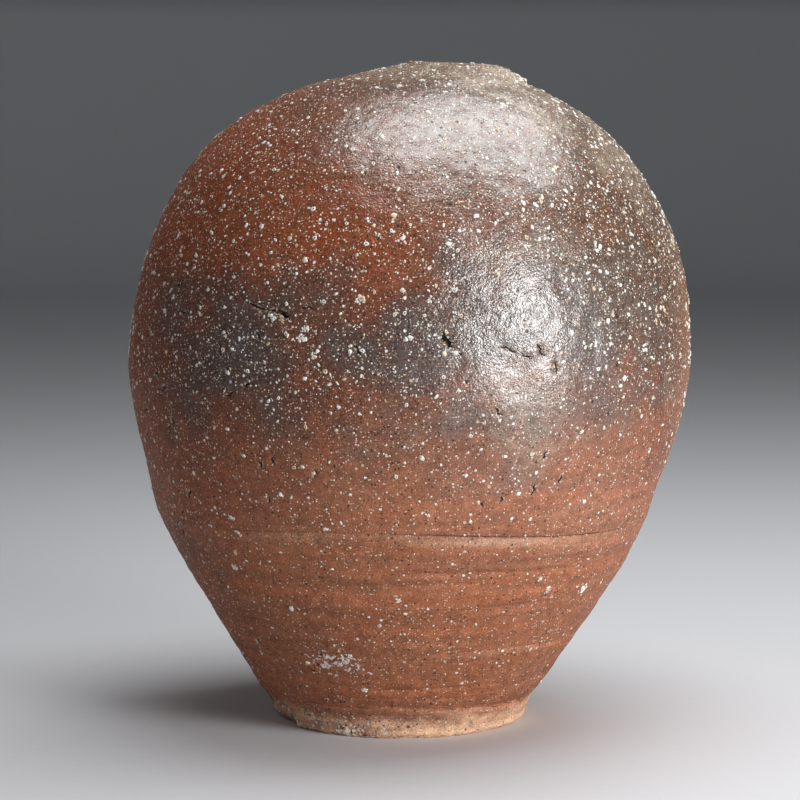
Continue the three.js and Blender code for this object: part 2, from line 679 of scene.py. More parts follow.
SCORCH_AND_SHADE_PATCHES = tuple(Patch(*row) for row in (
    ((-88, -141, 240), (30, 40, 30), 1.0), ((-112, -122, 232), (24, 34, 26), 0.6),
    ((-70, -150, 262), (30, 36, 16), 0.65), ((-12, -170, 240), (26, 40, 20), 0.9),
    ((24, -168, 250), (26, 40, 30), 0.95), ((60, -158, 258), (42, 40, 34), 0.95),
    ((100, -140, 254), (46, 46, 34), 0.95), ((126, -112, 254), (36, 40, 32), 0.85),
    ((-42, -166, 270), (46, 40, 32), 0.46), ((78, -148, 222), (44, 44, 24), 0.62),
    # The first patch on this line darkens the lower left side: painted shade where that side is turned from
    # the lamps.
    ((-128, -50, 92), (34, 60, 44), 0.36), ((90, 150, 240), (55, 50, 34), 0.9),
    ((-20, 170, 262), (50, 50, 28), 0.6), ((-120, 110, 236), (44, 44, 34), 0.85),
))

# Painted sheen: pale patches where the right lamp's soft reflection spreads over the belly and right side,
# laid on as pale ash, with some real ash dust among them.
SHEEN_AND_ASH_PATCHES = tuple(Patch(*row) for row in (
    ((74, -148, 198), (36, 40, 30), 0.40), ((128, -112, 262), (36, 42, 40), 0.16),
    ((172, -20, 240), (26, 50, 60), 0.42), ((84, -140, 293), (32, 40, 12), 0.24),
    ((110, -110, 160), (60, 60, 50), 0.10), ((0, -166, 178), (60, 50, 34), 0.10),
))

CHALKS = tuple(Patch(*row) for row in (
    ((-38, -99, 49), (24, 24, 17), 1.0), ((-52, -94, 42), (9, 12, 5), 1.0),
    ((25, -170, 246), (7, 10, 5), 1.3), ((-73, -153, 258), (7, 10, 4), 1.3),
    ((-29, -105, 15), (5, 8, 5), 1.2), ((-122, -52, 322), (7, 12, 6), 1.1),
    ((-117, -56, 313), (3, 8, 6), 1.0),
))

SLITS = tuple(Slit(*row) for row in (
    (-29.8, 262, 34, 101), (-26, 259, 9, 104, 1.7), (-21, 263, 9, 98), (-37, 213, 8, 62), (-33, 219, 5, 30),
    (-40, 238, 9, -20), (-31, 247, 5, -40), (-31, 173, 6, -12), (-30, 150, 6, 10), (-28, 176, 5, 20),
    (6.5, 245, 11, -28, 2.6), (8.5, 239, 9, -50, 0.9), (25, 239, 9, -34, 1.3), (28.5, 229, 8, -8, 1.2),
    (18.5, 240, 10, -70), (22, 236, 7, -60), (-10.5, 240, 9, -42), (17, 204, 7, -48), (28, 177, 7, 26),
    (27, 157, 9, 6), (16, 149, 5, -10), (20, 152, 5, 4), (65, 138, 7, 12), (-44, 231, 6, -20),
    (-55, 195, 7, -30), (33, 163, 6, 4), (-19, 168, 6, 12), (-52, 258, 8, 80),
))

STEPS = tuple(Step(*row) for row in (
    (0, 36, 54, 1.9, 7.0, 1.4), (0, -24, 24, 0.8), (0, 150, 60, 1.2), (1, 34, 36, 0.9), (1, 190, 40, 0.7),
    (3, 26, 42, 2.6), (3, -26, 26, 0.9), (3, 128, 50, 1.4), (3, 225, 30, 1.1),
))

FURROWS = tuple(Furrow(*row) for row in (
    (111, 24, 40, 2.4, -0.9, 0.0), (106.5, 24, 40, 1.5, 0.8, 0.0), (100, 0, 26, 1.6, 0.8, 2.0),
    (94, 14, 40, 2.6, -0.6, -3.0), (84, 34, 24, 1.2, 0.8, 3.0), (80, 34, 24, 2.4, -0.5, 3.0),
    (117, -26, 24, 1.5, 0.8, 2.0), (113, -26, 24, 2.2, -0.7, 2.0), (76, -16, 26, 1.8, 0.6, -2.0),
    (68, 10, 30, 2.6, -0.4, 1.0), (33, 18, 40, 1.1, 0.9, 1.5), (26.5, 6, 34, 1.0, 0.8, -2.5),
    (104, 140, 60, 1.8, 0.9, -3.0), (100, 140, 60, 2.2, -0.7, -3.0), (90, 215, 50, 1.8, 0.8, 2.0),
    (66, 170, 70, 1.6, 0.8, 1.0), (118, 190, 60, 2.4, -0.7, 1.0),
))

SCARS = (
    Scar(-54, -84, 10, 2.6),
    Scar(150, 177, 9, 2.4),
)

CHIPS = tuple(Chip(*row) for row in (
    (56, 90, 3.4), (40, 93, 2.4), (36, 101, 1.9), (-13, 33, 2.3), (-1, 92, 1.9), (-45, 108, 2.6),
    (-40, 128, 2.0), (43, 87, 1.4), (-20, 50, 2.0), (-24, 55, 1.7), (-26, 48, 1.8), (-16, 56, 1.9),
    (-21.5, 246, 2.6), (-21, 251, 2.3), (-19, 236, 2.2), (-10.5, 268, 2.7), (-28, 257, 2.2),
    (-26, 256, 1.6), (3, 268, 1.7), (8, 274, 1.8), (150, 110, 2.4), (205, 84, 2.6), (170, 240, 2.2),
    (238, 200, 2.0),
))

BROAD_ROLLS = (Roll(0, 0.105, 1.3), Roll(1, 0.052, 0.8))
MIDDLE_ROLLS = (Roll(2, 0.021, 0.42),)
FINE_ROLLS = (Roll(3, 0.0095, 0.20), Roll(4, 0.0048, 0.15), Roll(5, 0.0027, 0.09))
WIPED_ROLLS = (Roll(6, (0.16, 0.16, 0.0075), 0.30), Roll(7, (0.10, 0.10, 0.0032), 0.14))
FOOT_ROLLS = (Roll(8, 0.016, 0.9), Roll(9, 0.006, 0.5))
INSIDE_ROLLS = (Roll(6, (0.12, 0.12, 0.014), 0.7), Roll(1, 0.04, 0.5), Roll(3, 0.010, 0.25))
CLOUDS = (Roll(3, 0.03, 0.5), Roll(4, 0.012, 0.4))
DRIFTS = (Roll(0, 0.045, 20), Roll(1, 0.045, 20), Roll(2, 0.045, 20))
VEIL_DRIFTS = (Roll(0, 0.08, 34),)
FOOT_DRIFTS = (Roll(5, 0.012, 5),)

WARM_BELOW = Window(1.0, height=Ramp(235, 120))
COOL_LEFT = Window(0.45, right=Ramp(-60, -130))
VEIL_LOWER = Window(0.40, right=Ramp(-166, -125), height=Ramp(140, 215))
VEIL_UPPER = Window(1.0, right=Ramp(174, 150), height=Ramp(300, 255))
ASH_BARE = Window(0.5, right=Ramp(158, 174), height=Ramp(300, 265))
BLOOM_BARE = Window(0.25, right=Ramp(50, 110))
# A pale band round the rim: partly ash, partly painted sheen.
RIM_ASH_AND_SHEEN = Window(0.42, height=Ramp(384, 397))
SHEEN_LOWER = Window(0.30, height=Ramp(90, 180))
SHEEN_UPPER = Window(0.70, height=Ramp(178, 240))
GLOSS_UPPER = Window(1.0, height=Ramp(275, 330))
DULL_PLACES = (
    Window(0.06, height=Ramp(310, 350)),
    Window(0.7, height=Ramp(384, 393)),
    Window(0.75, back=Ramp(10, 70), height=Ramp(350, 300)),
    Window(0.6, right=Ramp(125, 165), height=Ramp(330, 290)),
)
PALE_FOOT = Window(1.0, height=Ramp(18, 7))
PALE_RIGHT = Window(1.0, right=Ramp(-40, 15))
CHALK_FOOT = Window(1.0, height=Ramp(22, 8))
CHALK_LEFT = Window(0.60, right=Ramp(30, -40))

LIVELY_COOL = 0.62
LIVELY_SCORCH = 0.85
BARE = {"warm": 0.55, "gloss": 0.05, "ash": 0.1}
SOLE = {"warm": 0.8, "gloss": 0.0, "pale": 0.7, "chalk": 0.5}


class Clay:
    """The clay itself: how its surface rolls and cracks, how the fire coloured it, and where light and shade
    are painted on it.
    """

    NOISE_SEEDS = range(11, 21)
    STRAY_SEED = 4
    STRAY_SLITS = 70
    STRAY_ANGLES = (70, 310)
    STRAY_HEIGHTS = (60, 330)
    STRAY_LENGTHS = (4, 10)
    STRAY_SLANT = 40
    # Open cracks.
    CLEAR = 4.0 * MM
    SLIT_WIDTH = 1.2 * MM
    SLIT_DEPTH = 1.1 * MM
    SLIT_SWAY = 0.5
    SLIT_BENDS = 9
    SLIT_SHUFFLE = 50
    SLIT_WHOLE = 0.2
    SLIT_END = 0.55
    # Rings that stand proud and lines drawn round the wall, in millimetres and shares.
    STEP_FLAT = 0.35
    FURROW_FLAT = 0.4
    FULL_STEP = 2.6
    RING_FADE = 11.0
    DRAWN_IN = 0.25
    DRAWN_REACH = 6.0
    CREASE_AT = 0.3
    CREASE_DEPTH = 0.2
    CREASE_WIDTH = 0.5
    # How dark the crease over a proud ring is drawn, as a share of an open crack: painted shade in the
    # crease.
    CREASE_SHADE = 0.12
    # Where a proud ring's top edge is painted paler: a painted highlight where it faces up into the light.
    EDGE_TOP = Ramp(0.4, -0.6)
    EDGE_FOOT = Ramp(-8.0, -1.8)
    # Broken stretches of the foot, in degrees round it and millimetres up.
    SCAR_BREAK = Ramp(0.0, 2.5)
    SCAR_WHOLE = 0.25
    SCAR_RIM = 0.5
    SCAR_RIM_WIDTH = 1.3
    SCAR_RIM_FADE = 5
    # How many millimetres the rings at the ledge run up, at which angle and over how many degrees.
    LEDGE_SWAYS = ((5.5, -8, 34), (-2.5, 52, 26))
    # How many millimetres the other rings do, how often round the jar, and where these waves start, in
    # radians and in radians to the metre up the wall.
    RING_WAVES = ((1.6, 2, 0.7, 0.0), (1.1, 3, -1.1, 1 / 0.06))
    LEDGE_REACH = 30 * MM
    LEVEL_END = 50 * MM
    # How the unevenness is shared out along the wall.
    FOOT_FADE = Ramp(-20 * MM, 40 * MM)
    FOOT_BROAD = 0.35
    WIPED_BELOW = Ramp(25 * MM, -5 * MM)
    WIPED_ABOVE = 0.25
    GLAZE_SMOOTHS = 0.3
    # Where the ash came from and settled.
    ASH_MIDDLE = (5 * MM, 0.0, 215 * MM)
    ASH_REACH = 170 * MM
    ASH_FROM = (0.55, -0.12, 0.82)
    BLOOM_FROM = (0.55, 0.10, 0.83)
    GLAZED = Ramp(0.62, 0.95)
    ASH_SHOWN = Ramp(0.33, 0.94)
    ASH_CLOUD = 0.18
    BLOOM_SHOWN = Ramp(0.84, 1.08)
    BLOOM_CLOUD = 0.15
    BLOOM_MOST = 0.85
    # The other zones.
    SCORCH_FALL = 0.6
    SCORCH_SHOWN = Ramp(0.10, 0.95)
    SCORCH_CLOUD = 0.3
    VEIL_CLOUD = 16
    EDGE_CLOUD = 14
    WARM_LEAST = 0.12
    GLOSS_LEAST = 0.15
    GLOSS_CLOUD = 30
    # Where the gloss starts along X and how far it takes to grow, on the belly and what the crown adds.
    GLOSS_START = (-8, -58)
    GLOSS_RUN = (54, 8)
    PALE_LEAST = 0.62
    # How pale the painted highlight on a proud ring's top edge is.
    PALE_LIT_EDGE = 0.30
    CHALK_LEAST = 0.30
    CHALK_BROKEN = 1.3

    def __init__(self, wall: JarWall) -> None:
        """Lays out what chance put on the jar.

        Args:
            wall: The jar's wall.
        """
        self.wall = wall
        self.joints = wall.joints()
        self._noise = [LatticeNoise(seed) for seed in self.NOISE_SEEDS]
        rng = np.random.default_rng(self.STRAY_SEED)
        drawn = [
            rng.uniform(*ends, self.STRAY_SLITS)
            for ends in (self.STRAY_ANGLES, self.STRAY_HEIGHTS, self.STRAY_LENGTHS)
        ]
        drawn.append(rng.normal(0, self.STRAY_SLANT, self.STRAY_SLITS))
        strays = [Slit(*row) for row in zip(*drawn)]
        self._slits = [self._laid_out(s) for s in (*SLITS, *strays)]
        self._furrow_distances = [self.distance_at(f.height) for f in FURROWS]

    def distance_at(self, height: float) -> float:
        """The distance along the wall at a height in millimetres."""
        distances = np.linspace(0, self.wall.length, 2000)
        return float(np.interp(height * MM, self.wall.outside(distances)[:, 1], distances))

    def _laid_out(self, slit: Slit) -> tuple[float, float, float, float, float]:
        """A slit's angle in radians, distance along the wall, length, slant in radians and width."""
        place = self.distance_at(slit.height)
        return math.radians(slit.angle), place, slit.length * MM, math.radians(slit.slant), slit.width

    def _rolled(self, points: np.ndarray, rolls: tuple[Roll, ...]) -> np.ndarray:
        """The sum of some layers of unevenness at each point."""
        return sum(roll.height * self._noise[roll.noise](points, roll.size) for roll in rolls)

    def _facing(self, points: np.ndarray, towards: Triple) -> np.ndarray:
        """How far each point faces the way that ash came from."""
        return (points - np.array(self.ASH_MIDDLE)) / self.ASH_REACH @ np.array(towards)

    def laid(self, base: np.ndarray, angle: np.ndarray, distance: np.ndarray, free: np.ndarray) -> Spots:
        """Lays an outline round the jar, its rings as far from level as the hand left them.

        Args:
            base: A radius and a height for each place.
            angle: Its angle round from the front.
            distance: Its distance along the wall.
            free: 1 where it may leave its level, and 0 where it may not.

        Returns:
            The places.
        """
        level = distance + self._wobble(angle, distance) * free
        upright = around(angle, base + self.wall.outside(level) - self.wall.outside(distance))
        return Spots(upright, self.wall.settled(upright, distance), angle, distance)

    def _wobble(self, angle: np.ndarray, distance: np.ndarray) -> np.ndarray:
        """How far the rings run up or down from level.

        Args:
            angle: Round from the front.
            distance: Along the wall.

        Returns:
            Metres along the wall.
        """
        turn = np.degrees(angle)
        ledge = sum(rise * bell(turn - middle, spread) for rise, middle, spread in self.LEDGE_SWAYS)
        others = sum(
            rise * np.sin(angle * times + start + distance * climb)
            for rise, times, start, climb in self.RING_WAVES
        )
        near_ledge = bell(distance - self.wall.tier_ends[0], self.LEDGE_REACH)
        ends = ease(distance, 0.0, self.LEVEL_END)
        ends *= ease(distance, self.wall.length, self.wall.length - self.LEVEL_END)
        return (ledge * near_ledge + others * (1 - near_ledge)) * MM * ends

    def cracks(self, spots: Spots) -> tuple[np.ndarray, np.ndarray]:
        """Where the clay is cracked open.

        Args:
            spots: Places on the outside.

        Returns:
            How far each place lies to the side of the nearest crack, in metres, and how far that crack gapes
            there, where 1 is as far as a plain one.
        """
        radius = np.hypot(spots.upright[:, 0], spots.upright[:, 1])
        aside = np.full(len(radius), self.CLEAR)
        gape = np.zeros(len(radius))
        for at, along, length, slant, width in self._slits:
            near = np.flatnonzero(np.abs(spots.distance - along) < length)
            turn = (spots.angle[near] - at + math.pi) % (2 * math.pi) - math.pi
            right = turn * radius[near]
            up = spots.distance[near] - along
            across = right * math.cos(slant) - up * math.sin(slant)
            lengthwise = right * math.sin(slant) + up * math.cos(slant)
            bends = np.sin(lengthwise / length * self.SLIT_BENDS + at * self.SLIT_SHUFFLE)
            across += self.SLIT_SWAY * self.SLIT_WIDTH * bends
            taper = 1 - ease(np.abs(lengthwise), self.SLIT_WHOLE * length, self.SLIT_END * length)
            taper *= width * ease(np.abs(across), self.CLEAR, 0.5 * self.CLEAR)
            closer = (taper > 0) & (np.abs(across) < np.abs(aside[near]))
            aside[near[closer]] = across[closer]
            gape[near[closer]] = taper[closer]
        return aside, gape

    def steps(self, spots: Spots) -> tuple[np.ndarray, np.ndarray, np.ndarray, np.ndarray]:
        """Where a ring was left proud of the one above it.

        Args:
            spots: Places on the outside.

        Returns:
            How far each place stands out, in metres, how far it lies above the crease over the ring, in
            metres, how dark that crease is painted as shade, from 0 to 1, and how far it lies on the ring's
            lit top edge, where a highlight is painted, from 0 to 1.
        """
        rise, gape, lit_edge = np.zeros((3, len(spots.angle)))
        aside = np.full(len(spots.angle), self.CLEAR)
        for step in STEPS:
            _, share = arc(spots.angle, step.angle, step.spread, self.STEP_FLAT)
            full = share * min(1.0, step.height / self.FULL_STEP)
            away = (spots.distance - self.joints[step.joint]) / MM + step.fall * spots.angle
            above = away - self.CREASE_AT
            proud = ease(away, self.CREASE_AT, -step.edge)
            proud *= bell(np.minimum(away + step.edge, 0.0), self.RING_FADE)
            drawn_in = self.DRAWN_IN * bell(away, self.DRAWN_REACH) * (away > 0)
            crease = self.CREASE_DEPTH * bell(above, self.CREASE_WIDTH)
            rise += step.height * MM * share * (proud - drawn_in - crease)
            # Painted highlight along the proud ring's top edge, which faces up into the light.
            lit_edge = np.maximum(lit_edge, full * self.EDGE_TOP(away) * self.EDGE_FOOT(away))
            opened = full * ease(np.abs(away) * MM, self.CLEAR, 0.5 * self.CLEAR)
            closer = (opened > 0) & (np.abs(above) * MM < np.abs(aside))
            aside = np.where(closer, above * MM, aside)
            gape = np.where(closer, opened, gape)
        return rise, aside, gape, lit_edge

    def furrows(self, spots: Spots) -> np.ndarray:
        """How far drawn lines raise or lower each place.

        Args:
            spots: The places.

        Returns:
            Metres outward.
        """
        found = np.zeros(len(spots.angle))
        for furrow, along in zip(FURROWS, self._furrow_distances):
            turn, share = arc(spots.angle, furrow.angle, furrow.spread, self.FURROW_FLAT)
            away = (spots.distance - along) / MM - furrow.climb * np.radians(turn)
            found -= furrow.depth * MM * share * bell(away, furrow.width)
        return found

    def scars(self, spots: Spots) -> tuple[np.ndarray, np.ndarray]:
        """Where the foot's edge was knocked off.

        Args:
            spots: Places on the outside.

        Returns:
            How much is missing at each place, in metres, and how far it lies on the broken edge, from 0 to 1.
        """
        level = spots.upright[:, 2] / MM
        missing, broken = np.zeros((2, len(level)))
        for scar in SCARS:
            run = (np.degrees(spots.angle) - scar.start) * math.copysign(1.0, scar.end - scar.start)
            reach = abs(scar.end - scar.start)
            share = self.SCAR_BREAK(run) * ease(run, reach, 0.5 * reach)
            missing += scar.depth * MM * share * ease(level, scar.top, self.SCAR_WHOLE * scar.top)
            rim = bell(run + self.SCAR_RIM, self.SCAR_RIM_WIDTH)
            rim *= ease(level, scar.top + self.SCAR_RIM_FADE, scar.top - self.SCAR_RIM_FADE)
            broken = np.maximum(broken, rim)
        return missing, broken

    def outer_relief(self, spots: Spots) -> np.ndarray:
        """How far the outside stands out from its plain round form.

        Args:
            spots: The places.

        Returns:
            Metres outward.
        """
        upright = spots.upright
        foot = self.FOOT_FADE(spots.distance)
        smoothed = self.GLAZE_SMOOTHS * self.GLAZED(self._facing(spots.settled, self.ASH_FROM))
        wiped = at_least(self.WIPED_ABOVE, self.WIPED_BELOW(spots.distance - self.wall.tier_ends[0]))
        rise = at_least(self.FOOT_BROAD, foot) * self._rolled(upright, BROAD_ROLLS)
        rise += self._rolled(upright, MIDDLE_ROLLS) + (1 - smoothed) * self._rolled(upright, FINE_ROLLS)
        rise += wiped * self._rolled(upright, WIPED_ROLLS) + (1 - foot) * self._rolled(upright, FOOT_ROLLS)
        for swell in SWELLS:
            away = np.linalg.norm(spots.settled - np.array(swell.place) * MM, axis=1)
            rise += swell.height * bell(away, swell.reach * MM)
        aside, gape = self.cracks(spots)
        cracked = self.SLIT_DEPTH * gape * bell(aside, self.SLIT_WIDTH)
        return rise * MM + self.steps(spots)[0] + self.furrows(spots) - cracked - self.scars(spots)[0]

    def inner_relief(self, upright: np.ndarray) -> np.ndarray:
        """How far the inside stands out, by the marks of fingers drawn round it, in metres."""
        return self._rolled(upright, INSIDE_ROLLS) * MM

    def _scorch_and_shade(self, place: np.ndarray, strayed: np.ndarray, cloud: np.ndarray) -> np.ndarray:
        """How far the fire scorched each place, with painted shade low on the left side, from 0 to 1.

        Args:
            place: Places on the leaning jar, in millimetres.
            strayed: The same places in metres, strayed so that the scorches have ragged edges.
            cloud: Soft noise at each.

        Returns:
            A number for each place.
        """
        scorch = Patch.strongest(SCORCH_AND_SHADE_PATCHES, strayed, np.zeros(len(place)), self.SCORCH_FALL)
        hazy = lifted(place, self._rolled(place * MM, VEIL_DRIFTS) + self.VEIL_CLOUD * cloud)
        veil = VEIL_LOWER(hazy) * VEIL_UPPER(hazy) * (1 + cloud)
        return np.clip(np.maximum(self.SCORCH_SHOWN(scorch + self.SCORCH_CLOUD * cloud), veil), 0, 1)

    def _gloss(self, place: np.ndarray, cloud: np.ndarray) -> np.ndarray:
        """How far melted ash makes each place shine.

        Args:
            place: The places, in millimetres.
            cloud: What strays the edges there.

        Returns:
            From 0 to 1, for each.
        """
        gloss = SHEEN_LOWER(place) + SHEEN_UPPER(lifted(place, self.EDGE_CLOUD * cloud))
        upper = GLOSS_UPPER(place)
        start = self.GLOSS_START[0] + self.GLOSS_START[1] * upper
        run = self.GLOSS_RUN[0] + self.GLOSS_RUN[1] * upper
        reached = ease((place[:, 0] + self.GLOSS_CLOUD * cloud - start) / run, 0.0, 1.0)
        gloss *= at_least(self.GLOSS_LEAST, reached)
        for dull in DULL_PLACES:
            gloss *= 1 - dull(place)
        return gloss

    def zones(self, spots: Spots) -> dict[str, np.ndarray]:
        """How the fire and use left each place, and where sheen, highlight and shade are painted.

        Args:
            spots: Places on the outside.

        Returns:
            A list of numbers to each zone's name: millimetres for aside, and about 0 to 1 for the others.
        """
        settled = spots.settled
        place = settled / MM
        cloud = self._rolled(settled, CLOUDS)
        strayed = settled + np.stack([self._rolled(settled, (drift,)) for drift in DRIFTS], axis=1) * MM
        warm = at_least(self.WARM_LEAST, WARM_BELOW(lifted(place, self.EDGE_CLOUD * cloud)))
        ash = self.ASH_SHOWN(self._facing(strayed, self.ASH_FROM) + self.ASH_CLOUD * cloud)
        ash_and_sheen = self.BLOOM_SHOWN(self._facing(strayed, self.BLOOM_FROM) + self.BLOOM_CLOUD * cloud)
        # The pale ash facing the fire is the clay's own; the rim band and the patches below add painted
        # sheen.
        ash_and_sheen = np.maximum(self.BLOOM_MOST * ash_and_sheen * (1 - BLOOM_BARE(place)), RIM_ASH_AND_SHEEN(place))
        pale = PALE_FOOT(lifted(place, self._rolled(settled, FOOT_DRIFTS)))
        pale *= at_least(self.PALE_LEAST, PALE_RIGHT(place))
        chalk = CHALK_FOOT(place) * (self.CHALK_LEAST + CHALK_LEFT(place))
        _, crease_aside, crease_gape, lit_edge = self.steps(spots)
        broken = self.scars(spots)[1]
        aside, gape = self.cracks(spots)
        # The crease over a proud ring is drawn as a thin dark line, like a crack: painted shade in the
        # crease.
        closer = (crease_gape > 0) & (np.abs(crease_aside) < np.abs(aside))
        return {
            "warm": warm * (1 - COOL_LEFT(place)),
            "scorch": self._scorch_and_shade(place, strayed, cloud),
            "ash": ash * (1 - ASH_BARE(place)),
            "ash_and_sheen": Patch.strongest(SHEEN_AND_ASH_PATCHES, strayed, ash_and_sheen),
            "gloss": self._gloss(place, cloud),
            # Pale: the foot's paler clay, the broken scar edges, and the painted highlight on proud rings'
            # top edges.
            "pale": np.maximum(np.maximum(pale, self.PALE_LIT_EDGE * lit_edge * (1 + cloud)), broken),
            "chalk": np.maximum(Patch.strongest(CHALKS, settled, chalk), self.CHALK_BROKEN * broken),
            "aside": np.where(closer, crease_aside, aside) / MM,
            "gape": np.where(closer, self.CREASE_SHADE * crease_gape, gape),
        }


@dataclass(frozen=True)
class Specks:
    """Scattered round specks in a material.

    Attributes:
        size: How far apart their places are, in metres.
        least: The smallest radius, as a share of the size.
        most: The largest radius, as a share of the size.
        calm: The share of the places that have one where the fire left the clay alone.
        lively: The share where it brought out the most.
    """

    size: float
    least: float
    most: float
    calm: float = 1.0
    lively: float = 1.0


class Nodes:
    """Short words for laying out a material's nodes."""

    MIX_FIRST = 6
    MIX_SECOND = 7
    MIX_RESULT = 2
    SPECK_POWER = 1.5
    SPECK_EDGE = 0.72
    NO_RADIUS = 0.001

    def __init__(self, name: str) -> None:
        """Starts an empty material with a place to read.

        Args:
            name: The material's name.
        """
        self.material = bpy.data.materials.new(name)
        self.material.use_nodes = True
        self.tree = self.material.node_tree
        self.tree.nodes.clear()
        self.place = self.make("ShaderNodeTexCoord").outputs["Object"]

    def make(self, kind: str, **settings: object) -> bpy.types.Node:
        """A new node with some of its settings.

        Args:
            kind: Its type.
            settings: Their names and values.

        Returns:
            The node.
        """
        node = self.tree.nodes.new(kind)
        for key, value in settings.items():
            setattr(node, key, value)
        return node

    def put(self, socket: Socket, value: object) -> None:
        """Links an output to a socket, or sets the socket to a number or a colour.

        Args:
            socket: The socket.
            value: The output, number or colour.
        """
        if isinstance(value, Socket):
            self.tree.links.new(value, socket)
        else:
            socket.default_value = value

    def fill(self, node: bpy.types.Node, *values: object) -> Socket:
        """Gives a node's first inputs their values in order.

        Args:
            node: The node.
            values: Its inputs, from the first.

        Returns:
            Its first output.
        """
        for socket, value in zip(node.inputs, values):
            self.put(socket, value)
        return node.outputs[0]

    def zone(self, name: str) -> Socket:
        """One of the numbers that the piece's mesh holds, by name."""
        return self.make("ShaderNodeAttribute", attribute_name=name).outputs["Fac"]

    def math(self, operation: str, *values: object) -> Socket:
        """One operation on up to three values."""
        return self.fill(self.make("ShaderNodeMath", operation=operation), *values)

    def times(self, first: object, second: object) -> Socket:
        """One value times another."""
        return self.math("MULTIPLY", first, second)

    def less(self, first: object, second: object) -> Socket:
        """One value less another."""
        return self.math("SUBTRACT", first, second)

    def scaled(self, value: object, factor: object, start: object) -> Socket:
        """A value times a factor, added to a start."""
        return self.math("MULTIPLY_ADD", value, factor, start)

    def most(self, first: object, *others: object) -> Socket:
        """The largest of some values.

        Args:
            first: A value.
            others: What it is held against.

        Returns:
            The largest.
        """
        for other in others:
            first = self.math("MAXIMUM", first, other)
        return first

    def ramp(self, value: object, low: object, high: object, start: object = 0, end: object = 1) -> Socket:
        """A smooth ramp from start to end as a value goes from low to high."""
        node = self.make("ShaderNodeMapRange", interpolation_type="SMOOTHSTEP")
        return self.fill(node, value, low, high, start, end)

    def mix(self, share: object, first: object, second: object, blend: str = "MIX") -> Socket:
        """Two colours mixed by a share from 0 to 1.

        Args:
            share: How much of the second shows.
            first: A colour.
            second: Another.
            blend: How they are mixed.

        Returns:
            The colour.
        """
        node = self.make("ShaderNodeMix", data_type="RGBA", blend_type=blend, clamp_factor=True)
        self.put(node.inputs["Factor"], share)
        self.put(node.inputs[self.MIX_FIRST], first)
        self.put(node.inputs[self.MIX_SECOND], second)
        return node.outputs[self.MIX_RESULT]

    def stretched(self, scale: Triple) -> Socket:
        """The place read, stretched along the axes.

        Args:
            scale: By how much, along each axis.

        Returns:
            The place.
        """
        node = self.make("ShaderNodeMapping")
        node.inputs["Scale"].default_value = scale
        self.put(node.inputs["Vector"], self.place)
        return node.outputs[0]

    def ragged(self, size: float, reach: float) -> Socket:
        """The place read, strayed by noise of a size, so that round specks come out ragged.

        Args:
            size: How large the noise is.
            reach: How far it strays.

        Returns:
            The place.
        """
        node = self.make("ShaderNodeTexNoise")
        self.put(node.inputs["Vector"], self.place)
        node.inputs["Scale"].default_value = 1 / size
        shift = self.make("ShaderNodeVectorMath", operation="MULTIPLY_ADD")
        return self.fill(shift, node.outputs["Color"], (2 * reach,) * 3, self.place)

    def noise(self, size: float, detail: float = 2.0, place: object = None, sandy: float = 0.5) -> Socket:
        """Noise around 0.5.

        Args:
            size: How large its lumps are, in metres.
            detail: How many times finer lumps are laid over them.
            place: Where it is read, if not at the place of the surface.
            sandy: How strong each finer layer is, as a share of the one before.

        Returns:
            The noise.
        """
        node = self.make("ShaderNodeTexNoise")
        self.put(node.inputs["Vector"], place or self.place)
        node.inputs["Scale"].default_value = 1 / size
        node.inputs["Detail"].default_value = detail
        node.inputs["Roughness"].default_value = sandy
        return node.outputs["Fac"]

    def cells(self, size: float, place: object) -> tuple[object, object, object]:
        """Scattered points a size apart.

        Args:
            size: How far apart they are, in metres.
            place: Where they are read.

        Returns:
            The distance to the nearest point, as a share of the size, and two chance numbers of that point.
        """
        node = self.make("ShaderNodeTexVoronoi")
        self.put(node.inputs["Vector"], place)
        node.inputs["Scale"].default_value = 1 / size
        split = self.make("ShaderNodeSeparateColor")
        self.put(split.inputs[0], node.outputs["Color"])
        return node.outputs["Distance"], split.outputs[0], split.outputs[1]

    def specks(self, layer: Specks, density: object, place: object) -> tuple[object, object]:
        """Scattered round specks.

        Args:
            layer: How large they are and how far apart.
            density: The share of their places that have one.
            place: Where they are read.

        Returns:
            Their cover from 0 to 1, and a chance number for each.
        """
        away, chance, tint = self.cells(layer.size, place)
        rank = self.fill(
            self.make("ShaderNodeMapRange", clamp=True), chance, self.less(1.0, density), 1.0, 0.0, 1.0
        )
        present = self.math("GREATER_THAN", rank, 0.0)
        sized = self.math("POWER", rank, self.SPECK_POWER)
        radius = self.scaled(sized, layer.most - layer.least, layer.least)
        radius = self.scaled(radius, present, self.NO_RADIUS)
        return self.ramp(self.math("DIVIDE", away, radius), 1.0, self.SPECK_EDGE), tint

    def surface(self, values: dict[str, object]) -> bpy.types.Material:
        """Ends the material with the surface's shader.

        Args:
            values: What the shader's sockets get, by name.

        Returns:
            The material.
        """
        shader = self.make("ShaderNodeBsdfPrincipled")
        for name, value in values.items():
            self.put(shader.inputs[name], value)
        out = self.make("ShaderNodeOutputMaterial")
        self.put(out.inputs["Surface"], shader.outputs[0])
        return self.material

    def bump(self, height: object) -> Socket:
        """A normal from a height.

        Args:
            height: In metres.

        Returns:
            The normal.
        """
        node = self.make("ShaderNodeBump")
        node.inputs["Strength"].default_value = 1.0
        node.inputs["Distance"].default_value = 1.0
        self.put(node.inputs["Height"], height)
        return node.outputs[0]


